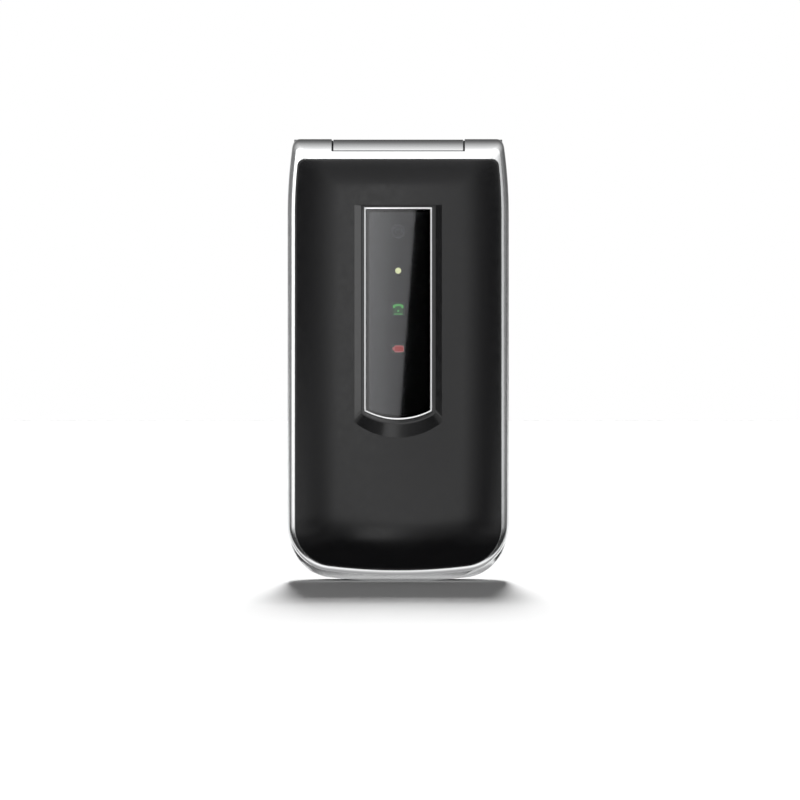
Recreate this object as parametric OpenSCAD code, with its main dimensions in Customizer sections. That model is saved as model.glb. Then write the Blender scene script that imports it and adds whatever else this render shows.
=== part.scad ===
// Clamshell phone, closed and standing on its lower end, hinge at the top.
// Pieces are drawn lying down: x across, y up the phone, z out of the lid's front. stand() raises them.

/* [Body] */
// Height of the closed phone
phone_h = 104; // [103:0.5:108]
// Width across the lid
phone_w = 52; // [51:0.5:56]
// Corner radius at the lower end
corner_r = 11; // [8:0.5:12]
// Radius of the bowed lower edge
bow_r = 130; // [110:5:200]
// Radius of the sides' narrowing towards the top
flare_r = 115; // [100:5:160]
// Length of that narrowing
flare_l = 18; // [16:0.5:20]
// Radius of the two upper corners
top_r = 1.7; // [1.4:0.1:2.2]
// Half width of the flat foot at the lower end
foot_half_w = 8; // [6:0.5:10]

/* [Lid] */
// Thickness of the lid to the crown of its front
lid_t = 7.5; // [7.4:0.1:8.5]
// Gap between the closed lid and the base
lid_gap = 0.4; // [0.35:0.05:0.6]
// Width of the silver rim beside the black panel
rim_w = 1.65; // [1.4:0.05:2]
// Width of the silver rim below the black panel
rim_low_w = 1.15; // [0.9:0.05:1.4]
// How far the base shows below the lid
lip_show = 1.4; // [1:0.1:2]
// Fall of the panel's crown at its sides
crown_drop = 1.1; // [0.8:0.05:1.3]
// Width over which the crown falls at each side
crown_side = 10; // [8:0.5:12]
// Length over which the crown falls at the lower end
crown_low = 13; // [11:0.5:16]
// Fall of the crown at the upper end
crown_top_drop = 0.5; // [0.4:0.05:0.7]
// Length over which the crown falls at the upper end
crown_top = 7; // [6:0.5:8]
// Distance from the top of the phone to the black panel
panel_down = 4.5; // [4.3:0.1:5]
// Wall of the lid frame
lid_wall = 1.5; // [1.3:0.1:1.7]
// Thickness of the lid's inner cover
inner_cover_t = 1.1; // [1:0.05:1.2]

/* [Window] */
// Height of the raised window over the panel's crown
plateau_h = 0.7; // [0.5:0.05:0.9]
// Width of the window's base
window_w = 20.5; // [19.5:0.25:22]
// Distance from the top of the phone to the window
window_down = 15.7; // [15:0.1:17]
// Length of the window's straight sides
window_side_l = 50.9; // [49:0.1:52]
// Bow of the window's lower edge
window_bow = 3.6; // [3:0.1:4]
// Width of the slope beside the window
bevel_w = 1.6; // [1.3:0.1:1.9]
// Length of the slope below the window
bevel_low = 3.15; // [2.8:0.05:3.5]
// Width of the silver trim line
trim_w = 0.6; // [0.5:0.05:0.8]
// Margin between the slope and the trim line
trim_margin = 0.6; // [0.5:0.05:0.8]

/* [Hinge] */
// Radius of the barrel and the knuckles
barrel_r = 4.6; // [4.4:0.05:4.8]
// Width of the barrel
barrel_w = 30.7; // [28:0.1:32]
// Height of the barrel that shows above the lid
barrel_show = 2.7; // [2.4:0.1:3]
// Radius of the lid's upper front edge
nose_r = 4.4; // [4.2:0.05:4.6]
// Running clearance round the hinge
hinge_gap = 0.35; // [0.3:0.05:0.4]
// Radius of the hinge's shaft and pin
pin_r = 1.45; // [1.3:0.05:1.6]
// Radius of the spring cartridge
cartridge_r = 2.5; // [2.3:0.05:2.7]

/* [Base] */
// Thickness of the base
base_t = 10.6; // [10.5:0.1:11.5]
// How far the base's sides stand inside the lid's
base_inset = 0.3; // [0.2:0.05:0.5]
// Radius of the back's long edges
back_r = 3.5; // [3:0.1:4]
// Radius of the back's lower edge
back_low_r = 1.8; // [1.5:0.1:2.2]
// Distance from the top of the phone to the base's upper edge
base_down = 5; // [4.6:0.1:5.5]
// Wall of the base covers
base_wall = 1.5; // [1.3:0.1:1.7]
// Depth of the front cover
front_cover_d = 4; // [3.8:0.1:4.2]
// Depth of the battery cover
battery_cover_d = 3; // [2.8:0.1:3.2]
// Thickness of the battery cover
battery_cover_t = 1; // [0.9:0.05:1.1]
// Length of the battery cover
battery_cover_l = 71; // [68:0.5:72]
// Battery width
battery_w = 38; // [36:0.5:40]
// Battery length
battery_l = 52; // [50:0.5:53]
// Battery thickness
battery_t = 4; // [3.8:0.05:4.1]

/* [Keys] */
// Width of a number key
key_w = 14; // [12.5:0.1:14.2]
// Height of a number key
key_h = 10.4; // [9:0.1:10.6]
// Spacing of the number keys across
key_pitch_x = 15.6; // [15.4:0.05:15.8]
// Spacing of the number keys along
key_pitch_y = 12.3; // [12:0.05:12.5]
// Gap round each key
key_gap = 0.25; // [0.2:0.01:0.3]
// Travel of a key
key_travel = 0.4; // [0.3:0.01:0.4]
// Depth of the keypad well
well_d = 0.8; // [0.7:0.05:0.9]
// Outer radius of the navigation ring
nav_r = 9.2; // [8.5:0.1:9.5]
// Radius of the OK key
ok_r = 4.5; // [4:0.1:5]

/* [Screws] */
// Radius of the screw heads
screw_head_r = 1.3; // [1.1:0.05:1.4]
// Radius of the screw shanks
screw_r = 0.7; // [0.6:0.05:0.8]
// Radius of the headset jack's hole
jack_r = 1.8; // [1.75:0.01:1.85]

/* [Hidden] */
$fn = 48;

// Heights of the layers, from the back to the front
back_z = -(base_t + lid_gap + lid_t + plateau_h) / 2;
face_z = back_z + base_t;
lid_back_z = face_z + lid_gap;
lid_front_z = lid_back_z + lid_t;
window_z = lid_front_z + plateau_h;
seam_z = face_z - front_cover_d;
cover_rim_z = back_z + battery_cover_d;
well_z = face_z - well_d;
plate_t = 1;
plate_z = well_z - plate_t;
mat_t = 0.3;
flange_gap = 0.1;
flange_t = 0.4;
flange_z = plate_z - flange_gap - flange_t;
rest_gap = 0.1;
mat_z = flange_z - key_travel - rest_gap - mat_t;
board_t = 0.8;
board_z = mat_z - board_t;
chip_t = 0.9;
layer_gap = 0.1;
floor_t = 0.5;
floor_z = board_z - chip_t - layer_gap - floor_t;
battery_z = floor_z - layer_gap - battery_t;
fit = 0.05;
seam = 0.1;
reach = 200;

// Hinge line and the round nose in front of it
axis_y = phone_h - barrel_r;
axis_z = lid_back_z + 0.5;
nose_y = phone_h - nose_r;
nose_z = lid_front_z - crown_top_drop - nose_r;
knuckle_w = phone_w / 2 - flare_r + sqrt(flare_r * flare_r - flare_l * flare_l) - 0.1;
open_angle = 160;
nose_dy = nose_y - axis_y;
nose_dz = nose_z - axis_z;
open_nose_y = axis_y + nose_dy * cos(open_angle) + nose_dz * sin(open_angle);
open_nose_z = axis_z - nose_dy * sin(open_angle) + nose_dz * cos(open_angle);
base_top_y = phone_h - base_down;

// Window, camera and lamps
panel_top_y = phone_h - panel_down;
window_top_y = phone_h - window_down;
window_corner_y = window_top_y - window_side_l;
window_low_y = window_corner_y - window_bow;
bevel_top = 0.2;
bevel_corner = 1.9;
trim_half_w = window_w / 2 - bevel_w - trim_margin;
trim_top_y = window_top_y - bevel_top - 0.3;
trim_corner_y = window_corner_y + bevel_corner + 0.6;
trim_low_y = window_low_y + bevel_low + 0.9;
lens_half_w = trim_half_w - trim_w;
lens_t = 0.9;
lens_z = window_z - 0.1;
camera_y = window_top_y - 6.2;
dot_y = camera_y - 9.2;
call_y = dot_y - 9;
battery_lamp_y = call_y - 9.3;
camera_w = 6.5;
camera_r = 1.35;
dot_r = 0.7;
sign_t = 0.6;
stem_half_w = 0.8;
camera_body_t = 1.6;
camera_lens_t = 0.4;
camera_dome_r = 2.4;

// Inside of the lid
lid_floor_z = lid_front_z - 2.4;
lid_floor_t = 0.6;
lid_cavity_z = lid_floor_z - lid_floor_t;
lid_low_y = lip_show;
hinge_wall_y = axis_y - barrel_r - hinge_gap - 0.9;
display_y = axis_y - 45.4;
display_w = 36;
display_l = 48;
display_t = 2;
glass_w = 41;
glass_l = 56;
glass_t = 0.8;
glass_r = 3;
glass_sink = 0.15;
frame_hide = 1.5;
earpiece_slot_w = 10;
earpiece_slot_h = 2;
display_z = lid_back_z + inner_cover_t + fit;
lid_board_z = display_z + display_t + layer_gap;
earpiece_y = lid_low_y + 13;
lid_screw_x = phone_w / 2 - 4.6;
lid_screw_ys = [lid_low_y + 19, hinge_wall_y - 5];
bumper_x = phone_w / 2 - 8;
bumper_y = lid_low_y + 5.5;
bumper_r = 1.5;
lid_head_t = 0.65;
hex_r = 0.45;

// Keypad
nav_y = axis_y - 23.6;
first_row_y = nav_y - 20.8;
side_key_x = 17;
side_key_w = 11;
key_top_z = face_z - 0.2;
key_r = 2.2;
key_ease = 0.2;
key_crown = 1.2;
key_flange = 0.35;
number_keys = [
    ["key_1", -1, 0], ["key_2", 0, 0], ["key_3", 1, 0],
    ["key_4", -1, 1], ["key_5", 0, 1], ["key_6", 1, 1],
    ["key_7", -1, 2], ["key_8", 0, 2], ["key_9", 1, 2],
    ["key_star", -1, 3], ["key_0", 0, 3], ["key_hash", 1, 3]
];
// Each side key: name, side, distance above the ring's centre, height
side_keys = [
    ["soft_key_left", -1, 8, 7], ["soft_key_right", 1, 8, 7],
    ["call_key", -1, -5, 9], ["end_key", 1, -5, 9]
];

// Inside of the base
base_half_w = phone_w / 2 - base_inset;
cover_low_y = 5;
cover_top_y = cover_low_y + battery_cover_l;
battery_low_y = cover_low_y + 7;
battery_top_y = battery_low_y + battery_l;
bay_rib = 1;
bay_gap = 0.3;
board_low_y = 4;
board_top_y = axis_y - 8.4;
bay_side = 3;
upper_low_y = cover_top_y + 1.8;
upper_top_y = upper_low_y + 14.2;
upper_z = back_z + 1;
base_screw_x = base_half_w - 4.9;
call_key_low_y = nav_y + side_keys[2][2] - side_keys[2][3] / 2;
base_screw_ys = [cover_low_y + 4, (call_key_low_y + first_row_y + key_h / 2) / 2];
boss_r = 1.9;
jack_y = upper_top_y - 2.6;
jack_w = 4.6;
jack_l = 13;
jack_z = upper_z + jack_w / 2 + layer_gap;
usb_y = upper_low_y + 5.4;
usb_z = upper_z + 2.6;
usb_w = 7.5;
usb_h = 2.6;
usb_l = 5.4;
assist_y = upper_low_y + 6.2;
assist_r = 5;
assist_flange = 0.7;
speaker_gap = 1.8;
speaker_w = base_half_w - bay_side - assist_r - assist_flange - speaker_gap - 1.2;
speaker_l = 7.6;
speaker_x = -assist_r - assist_flange - speaker_gap - speaker_w / 2;
speaker_y = upper_low_y + 4.3;
motor_r = 4;
motor_x = assist_r + motor_r + 3;
motor_y = upper_low_y + 4.6;
rocker_y = cover_top_y - 12;
rocker_l = 16;
rocker_h = 2.1;
rocker_t = 2;
rocker_flange = 0.7;
rocker_flange_t = 0.5;
rocker_proud = 0.25;
rocker_room = 3.2;
rocker_z = (seam_z + cover_rim_z) / 2;
mic_y = 8;
mic_r = 1.6;
mic_hole_r = 0.5;
well_side = 2.4;
well_r = 3;
cover_gap = 0.15;
cover_seat = 1.5;
slot_pitch = 2.2;
slot_half_w = 0.5;
slot_half_l = 2.5;
contact_x = 4;
contact_half_h = 1;
mat_side_gap = 1;
mat_over_nav = 12.5;
sim_w = 18;
sim_l = 15;
sim_wall = 1.3;
sim_plate_t = 0.3;
sim_slot = 0.5;
sim_low_y = battery_top_y - 34;
shield_w = 30;
shield_l = 12;

// ---- Outlines ----

// Points along an arc
function arc(cx, cy, r, a0, a1, n) =
    [for (i = [0:n]) let(a = a0 + (a1 - a0) * i / n) [cx + r * cos(a), cy + r * sin(a)]];

function mirrored(p) = [for (i = [len(p) - 1:-1:0]) [-p[i][0], p[i][1]]];

// Right half of the phone's outline, set in by s, from low_y to high_y with upper corners of radius r
function half_outline(s, low_y, high_y, r) =
    let(w = phone_w / 2 - s)
    let(rc = corner_r - s)
    let(rb = bow_r - s)
    let(rf = flare_r - s)
    let(cx = w - rc)
    let(cy = low_y + rb - sqrt(pow(rb - rc, 2) - pow(cx, 2)))
    let(turn = atan2(cy - low_y - rb, cx))
    let(fy = phone_h - flare_l)
    let(ty = high_y - r)
    let(tx = w - rf + sqrt(pow(rf - r, 2) - pow(ty - fy, 2)))
    let(lean = atan2(ty - fy, tx - w + rf))
    concat(
        arc(0, low_y + rb, rb, -90 + 2, turn, 4),
        arc(cx, cy, rc, turn + 9, 0, 5),
        arc(w - rf, fy, rf, 0, lean, 5),
        arc(tx, ty, r, lean + 20, 90, 3)
    );

function outline(s, low_y, high_y, r) =
    let(p = half_outline(s, low_y, high_y, r))
    concat(p, mirrored(p));

// Rectangle with round corners
function rounded(w, h, r) = concat(
    arc(w / 2 - r, r - h / 2, r, -90, 0, 4),
    arc(w / 2 - r, h / 2 - r, r, 0, 90, 4),
    arc(r - w / 2, h / 2 - r, r, 90, 180, 4),
    arc(r - w / 2, r - h / 2, r, 180, 270, 4)
);

// Window shape: straight sides, square top and a bowed lower edge
function window_shape(half_w, top_y, corner_y, low_y) =
    let(bow = corner_y - low_y)
    let(r = (half_w * half_w + bow * bow) / (2 * bow))
    let(a = asin(half_w / r))
    concat([[half_w, top_y], [-half_w, top_y]], arc(0, low_y + r, r, -90 - a, -90 + a, 14));

// Solid through rings of equally many points, each ring at its own height
module loft(heights, rings) {
    n = len(rings[0]);
    last = len(rings) - 1;
    points = [for (k = [0:last]) for (p = rings[k]) [p[0], p[1], heights[k]]];
    sides = [for (k = [0:last - 1]) for (i = [0:n - 1]) for (half = [0, 1])
        let(j = (i + 1) % n)
        half == 0 ? [k * n + i, (k + 1) * n + j, k * n + j]
                  : [k * n + i, (k + 1) * n + i, (k + 1) * n + j]];
    caps = [[for (i = [0:n - 1]) i], [for (i = [n - 1:-1:0]) last * n + i]];
    polyhedron(points, concat(sides, caps));
}

module stand() {
    rotate([90, 0, 0]) children();
}

// Plate of a given outline between two heights
module plate(points, z0, z1) {
    translate([0, 0, z0]) linear_extrude(z1 - z0) polygon(points);
}

// Plate inside the sides, square at its upper end
module inner_plate(s, low_y, high_y, z0, z1) {
    intersection() {
        plate(outline(s, low_y, phone_h, 2), z0, z1);
        box(-phone_w, phone_w, 0, high_y, z0, z1);
    }
}

module box(x0, x1, y0, y1, z0, z1) {
    translate([x0, y0, z0]) cube([x1 - x0, y1 - y0, z1 - z0]);
}

// Round bar along x
module bar(x0, x1, y, z, r) {
    translate([x0, y, z]) rotate([0, 90, 0]) cylinder(h = x1 - x0, r = r);
}

// ---- Envelopes ----

// Radius of an arc that falls by drop over run, and how far it runs to fall by d
function fall_r(run, drop) = (run * run + drop * drop) / (2 * drop);
function fall_run(d, r) = sqrt(max(0, 2 * r * d - d * d));

// Height of the nose's round edge at depth z
function nose_edge(z) =
    z > nose_z ? nose_y + sqrt(max(0, nose_r * nose_r - pow(z - nose_z, 2))) : phone_h;

function crown_edge(d) = d < crown_top_drop
    ? panel_top_y - crown_top + fall_run(d, fall_r(crown_top, crown_top_drop))
    : nose_edge(lid_front_z - d);

function crown_ring(d) = outline(
    rim_w + crown_side - fall_run(d, fall_r(crown_side, crown_drop)),
    lid_low_y + rim_low_w + crown_low - fall_run(d, fall_r(crown_low, crown_drop)),
    crown_edge(d), top_r / 2);

rim_z = lid_front_z - crown_drop;
rim_round = 1.3;
back_chamfer = 0.5;

function rim_ring(a) = outline(rim_w * (1 - sin(a)), lid_low_y + rim_low_w * (1 - sin(a)),
    nose_edge(rim_z - rim_round * (1 - cos(a))), top_r);

// The whole lid, with its crowned front and rounded nose
module lid_envelope() {
    falls = [0.04, 0.15, 0.35, 0.6, 0.85] * crown_drop;
    turns = [0, 25, 50, 70, 90];
    heights = concat(
        [lid_back_z, lid_back_z + back_chamfer, nose_z],
        [for (i = [4:-1:0]) rim_z - rim_round * (1 - cos(turns[i]))],
        [for (i = [4:-1:0]) lid_front_z - falls[i]],
        [lid_front_z]);
    rings = concat(
        [outline(back_chamfer, lid_low_y + back_chamfer, phone_h, top_r)],
        [outline(0, lid_low_y, phone_h, top_r), outline(0, lid_low_y, phone_h, top_r)],
        [for (i = [4:-1:0]) rim_ring(turns[i])],
        [for (i = [4:-1:0]) crown_ring(falls[i])],
        [crown_ring(0)]);
    loft(heights, rings);
}

// How far an edge of radius r is set in at height z over the back
function back_inset(z, r) = z > back_z + r ? 0 : r - sqrt(max(0, r * r - pow(r - z + back_z, 2)));

foot_drop = foot_half_w * foot_half_w / (2 * bow_r);

function base_ring(z, s) = outline(base_inset + s + back_inset(z, back_r),
    back_inset(z, back_low_r) - foot_drop, base_top_y - s - back_inset(z, back_r), 2);

// The whole base, with its rounded back and flat foot
module base_envelope() {
    heights = [back_z, back_z + back_r * 0.1, back_z + back_r * 0.3, back_z + back_r * 0.6,
        back_z + back_r, face_z - back_chamfer, face_z];
    difference() {
        loft(heights, [for (i = [0:6]) base_ring(heights[i], i == 6 ? back_chamfer : 0)]);
        box(-phone_w, phone_w, -foot_drop - 1, 0, -reach, reach);
    }
}

// Space that the lid's knuckles and nose sweep, cut from the base
module hinge_sweep() {
    half = phone_w / 2 + 1;
    for (side = [-1, 1]) {
        x0 = side > 0 ? barrel_w / 2 : -half;
        x1 = side > 0 ? half : -barrel_w / 2;
        bar(x0, x1, axis_y, axis_z, barrel_r + hinge_gap + fit);
        bar(x0, x1, open_nose_y, open_nose_z, nose_r + hinge_gap);
    }
    box(-barrel_w / 2 - 1, barrel_w / 2 + 1, base_top_y - 0.5, phone_h, open_nose_z - nose_r - 0.4, reach);
}

// ---- Lid ----

module lid_frame() {
    half_notch = barrel_w / 2 + 0.3;
    color("silver") stand() difference() {
        union() {
            lid_envelope();
            bar(half_notch, knuckle_w, axis_y, axis_z, barrel_r);
            bar(-knuckle_w, -half_notch, axis_y, axis_z, barrel_r);
        }
        plate(panel_outline(0), lid_floor_z, reach);
        plate(outline(lid_wall, lid_low_y + lid_wall, hinge_wall_y, 1), -reach, lid_cavity_z);
        plate(window_shape(trim_half_w, trim_top_y, trim_corner_y, trim_low_y), 0, reach);
        bar(-half_notch, half_notch, axis_y, axis_z, barrel_r + hinge_gap);
        box(-half_notch, half_notch, phone_h - barrel_show, reach, -reach, reach);
        bar(barrel_w / 2, knuckle_w - knuckle_end_t, axis_y, axis_z, pin_r + fit);
        bar(knuckle_end_t - knuckle_w, -barrel_w / 2, axis_y, axis_z, pin_r + fit);
    }
}

function panel_outline(gap) = outline(rim_w + gap, lid_low_y + rim_low_w + gap, panel_top_y - gap, top_r);

module lid_panel() {
    color([0.2, 0.2, 0.2]) stand() difference() {
        intersection() {
            lid_envelope();
            plate(panel_outline(seam), lid_floor_z, reach);
        }
        plate(bezel_foot(seam), 0, reach);
    }
}

// The part of the window's surround that passes through the panel
function bezel_foot(gap) = window_shape(trim_half_w + 0.5 + gap, window_top_y - 0.6 + gap,
    window_corner_y + 1.4 - gap, window_low_y + 2 - gap);

module window_bezel() {
    color([0.12, 0.12, 0.12]) stand() difference() {
        union() {
            plate(bezel_foot(0), lid_floor_z, lid_front_z);
            loft([lid_front_z, lid_front_z + fit, window_z], [
                window_shape(window_w / 2, window_top_y, window_corner_y, window_low_y),
                window_shape(window_w / 2, window_top_y, window_corner_y, window_low_y),
                window_shape(window_w / 2 - bevel_w, window_top_y - bevel_top,
                    window_corner_y + bevel_corner, window_low_y + bevel_low)]);
        }
        plate(window_shape(trim_half_w, trim_top_y, trim_corner_y, trim_low_y), lens_z - lens_t, reach);
        plate(lens_shape(0.6), 0, reach);
    }
}

function lens_shape(gap) = window_shape(lens_half_w - gap, trim_top_y - trim_w - gap,
    trim_corner_y + gap, trim_low_y + trim_w + gap);

module window_trim() {
    color("gainsboro") stand() difference() {
        plate(window_shape(trim_half_w, trim_top_y, trim_corner_y, trim_low_y), lens_z - lens_t, window_z);
        plate(lens_shape(0), 0, reach);
    }
}

module window_lens() {
    color([0.25, 0.25, 0.28, 0.6]) stand() plate(lens_shape(0), lens_z - lens_t, lens_z);
}

lid_board_top_z = lid_board_z + board_t;
under_lens_z = lens_z - lens_t - fit;

module camera_module() {
    color([0.15, 0.15, 0.16]) stand() {
        plate([for (p = rounded(camera_w, camera_w, 0.6)) p + [0, camera_y]],
            lid_board_top_z, lid_board_top_z + camera_body_t);
        translate([0, camera_y, lid_board_top_z + camera_body_t])
            cylinder(h = under_lens_z - lid_board_top_z - camera_body_t - camera_lens_t, r = camera_r + 0.9);
    }
}

module camera_lens() {
    color([0.1, 0.12, 0.25]) stand() intersection() {
        translate([0, camera_y, under_lens_z - camera_dome_r]) sphere(r = camera_dome_r);
        translate([0, camera_y, under_lens_z - camera_lens_t]) cylinder(h = camera_dome_r, r = camera_r);
    }
}

// Light guide from the board up to a lamp's face
module lamp_stem(y) {
    box(-stem_half_w, stem_half_w, y - stem_half_w, y + stem_half_w, lid_board_top_z, under_lens_z - sign_t);
}

module dot_lamp() {
    color([0.9, 0.93, 0.7]) stand() {
        lamp_stem(dot_y);
        translate([0, dot_y, under_lens_z - sign_t]) cylinder(h = sign_t, r = dot_r);
    }
}

// Telephone sign: a bowed handset over a trapezoid body
module call_lamp() {
    body = [[-0.95, -1.25], [0.95, -1.25], [0.65, 0.15], [-0.65, 0.15]];
    handset = concat(arc(0, -1.5, 2.75, 28, 152, 10), arc(0, -1.5, 2.0, 142, 38, 10));
    color([0.4, 0.85, 0.45]) stand() {
        lamp_stem(call_y);
        plate([for (p = body) p + [0, call_y]], under_lens_z - sign_t, under_lens_z);
        plate([for (p = handset) [p[0] * 0.52, p[1] * 0.95 + call_y]], under_lens_z - sign_t, under_lens_z);
        plate([[-0.3, call_y], [0.3, call_y], [0.3, call_y + 0.7], [-0.3, call_y + 0.7]],
            under_lens_z - sign_t, under_lens_z);
    }
}

// Battery sign: a cell with its nub
module battery_lamp() {
    color([0.85, 0.3, 0.27]) stand() {
        lamp_stem(battery_lamp_y);
        plate([for (p = rounded(2.2, 1.5, 0.3)) p + [0.2, battery_lamp_y]], under_lens_z - sign_t, under_lens_z);
        box(-1.3, -0.85, battery_lamp_y - 0.35, battery_lamp_y + 0.35, under_lens_z - sign_t, under_lens_z);
    }
}

module lid_board() {
    half = phone_w / 2 - 6;
    color("darkgreen") stand() difference() {
        box(-half, half, display_y - display_l / 2 - 4, hinge_wall_y - 1.5, lid_board_z, lid_board_top_z);
        for (side = [-1, 1]) translate([side * lid_screw_x, lid_screw_ys[1], 0]) cylinder(h = reach, r = boss_r);
    }
}

module display_panel() {
    color([0.1, 0.1, 0.14]) stand() plate(
        [for (p = rounded(display_w, display_l, 0.8)) p + [0, display_y]],
        display_z, display_z + display_t);
}

module display_lens() {
    color([0.05, 0.05, 0.06]) stand() plate(
        [for (p = rounded(glass_w, glass_l, glass_r)) p + [0, display_y]],
        lid_back_z + glass_sink, lid_back_z + glass_sink + glass_t);
}

module lid_inner_cover() {
    low = lid_low_y + lid_wall + seam;
    color([0.16, 0.16, 0.17]) stand() difference() {
        plate(outline(lid_wall + seam, low, hinge_wall_y - seam, 1), lid_back_z, lid_back_z + inner_cover_t);
        plate([for (p = rounded(glass_w + 2 * seam, glass_l + 2 * seam, glass_r)) p + [0, display_y]],
            0, lid_back_z + glass_sink + glass_t);
        plate([for (p = rounded(display_w - 2 * frame_hide, display_l - 2 * frame_hide, 1)) p + [0, display_y]],
            0, reach);
        plate([for (p = rounded(earpiece_slot_w, earpiece_slot_h, 1)) p + [0, earpiece_y]], 0, reach);
        for (side = [-1, 1], y = lid_screw_ys) translate([side * lid_screw_x, y, 0]) {
            cylinder(h = lid_back_z + lid_head_t + fit, r = screw_head_r + seam);
            cylinder(h = reach, r = screw_r + fit);
        }
    }
}

module earpiece() {
    color([0.2, 0.2, 0.2]) stand() plate([for (p = rounded(14, 7, 2.5)) p + [0, earpiece_y]],
        display_z, display_z + 2.2);
}

module earpiece_mesh() {
    color([0.35, 0.35, 0.36]) stand() plate(
        [for (p = rounded(earpiece_slot_w - 2 * fit, earpiece_slot_h - 2 * fit, 0.9)) p + [0, earpiece_y]],
        lid_back_z + 0.4, lid_back_z + 0.8);
}

module closing_magnet() {
    color([0.6, 0.6, 0.62]) stand() box(15, 20, lid_low_y + 9, lid_low_y + 12, display_z, display_z + 2);
}

module lid_bumpers() {
    color([0.1, 0.1, 0.1]) stand() for (side = [-1, 1])
        translate([side * bumper_x, bumper_y, face_z + fit]) cylinder(h = lid_gap - fit, r = bumper_r);
}

module lid_screws() {
    color([0.3, 0.3, 0.32]) stand() for (side = [-1, 1], y = lid_screw_ys)
        translate([side * lid_screw_x, y, lid_back_z + fit]) difference() {
            union() {
                cylinder(h = lid_head_t, r = screw_head_r);
                cylinder(h = lid_cavity_z - lid_back_z - 0.1, r = screw_r);
            }
            cylinder(h = 0.8, r = hex_r, center = true, $fn = 6);
        }
}

// ---- Hinge ----

knuckle_end_t = 1.5;
shaft_end_x = knuckle_w - knuckle_end_t - 0.2;
pin_grip = 5;
bush_l = 4.5;

module hinge_shaft() {
    color([0.62, 0.62, 0.65]) stand() bar(-shaft_end_x, pin_grip - barrel_w / 2, axis_y, axis_z, pin_r);
}

module hinge_pin() {
    color([0.62, 0.62, 0.65]) stand() bar(barrel_w / 2 - pin_grip, shaft_end_x, axis_y, axis_z, pin_r);
}

module hinge_cartridge() {
    color([0.5, 0.5, 0.53]) stand() difference() {
        bar(fit - barrel_w / 2, 2, axis_y, axis_z, cartridge_r);
        bar(-barrel_w, pin_grip + 0.2 - barrel_w / 2, axis_y, axis_z, pin_r + fit);
    }
}

module hinge_bush() {
    color("goldenrod") stand() difference() {
        bar(barrel_w / 2 - bush_l, barrel_w / 2 - fit, axis_y, axis_z, cartridge_r);
        bar(0, barrel_w, axis_y, axis_z, pin_r + fit);
    }
}

// ---- Base ----

module base_front_cover() {
    color([0.14, 0.14, 0.15]) stand() difference() {
        union() {
            difference() {
                intersection() {
                    base_envelope();
                    box(-reach, reach, -reach, reach, seam_z, reach);
                }
                hinge_sweep();
                plate(inner_outline(), -reach, plate_z);
            }
            bar(-barrel_w / 2, barrel_w / 2, axis_y, axis_z, barrel_r);
            base_bosses();
        }
        plate(outline(base_inset + well_side, well_r, hinge_wall_y - 1.5, well_r), well_z, reach);
        keypad_holes();
        bar(-barrel_w, barrel_w, axis_y, axis_z, cartridge_r + fit);
        for (side = [-1, 1], y = base_screw_ys)
            translate([side * base_screw_x, y, seam_z - 1]) cylinder(h = 3.2, r = screw_r + fit);
        translate([0, mic_y, 0]) cylinder(h = reach, r = mic_hole_r, center = true);
    }
}

function inner_outline() = outline(base_inset + base_wall, base_wall, axis_y - barrel_r - 1.6, 2);

module base_bosses() {
    for (side = [-1, 1], y = base_screw_ys)
        translate([side * base_screw_x, y, seam_z]) cylinder(h = plate_z - seam_z + 0.2, r = boss_r - 0.2);
}

module keypad_holes() {
    for (k = number_keys)
        plate(key_outline(k, key_gap), -reach, reach);
    for (k = side_keys)
        plate(side_key_outline(k, key_gap), -reach, reach);
    translate([0, nav_y, 0]) cylinder(h = reach, r = nav_r + key_gap, center = true);
}

module base_rear_cover() {
    color([0.13, 0.13, 0.14]) stand() difference() {
        union() {
            difference() {
                intersection() {
                    base_envelope();
                    box(-reach, reach, -reach, reach, -reach, seam_z - fit);
                }
                hinge_sweep();
                box(-reach, reach, cover_low_y, cover_top_y, -reach, cover_rim_z);
                inner_plate(base_inset + base_wall, cover_low_y + cover_seat, cover_top_y - cover_seat,
                    -reach, floor_z);
                plate(outline(base_inset + base_wall, board_low_y - 0.5, upper_top_y, 2),
                    floor_z + floor_t, reach);
                box(bay_side - base_half_w, base_half_w - bay_side, upper_low_y, upper_top_y, upper_z, 0);
            }
            bay_wall();
            for (side = [-1, 1], y = base_screw_ys)
                translate([side * base_screw_x, y, floor_z - 0.9]) cylinder(h = floor_t + 1.8, r = boss_r + 0.3);
        }
        battery_bay();
        rear_openings();
    }
}

// Low wall round the battery, standing on the bay's floor
module bay_wall() {
    half = battery_w / 2 + bay_gap + bay_rib;
    box(-half, half, battery_low_y - bay_gap - bay_rib, battery_top_y + bay_gap + bay_rib,
        battery_z + 0.4, floor_z + 0.1);
}

module battery_bay() {
    half = battery_w / 2 + bay_gap;
    box(-half, half, battery_low_y - bay_gap, battery_top_y + bay_gap, -reach, floor_z);
}

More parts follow.
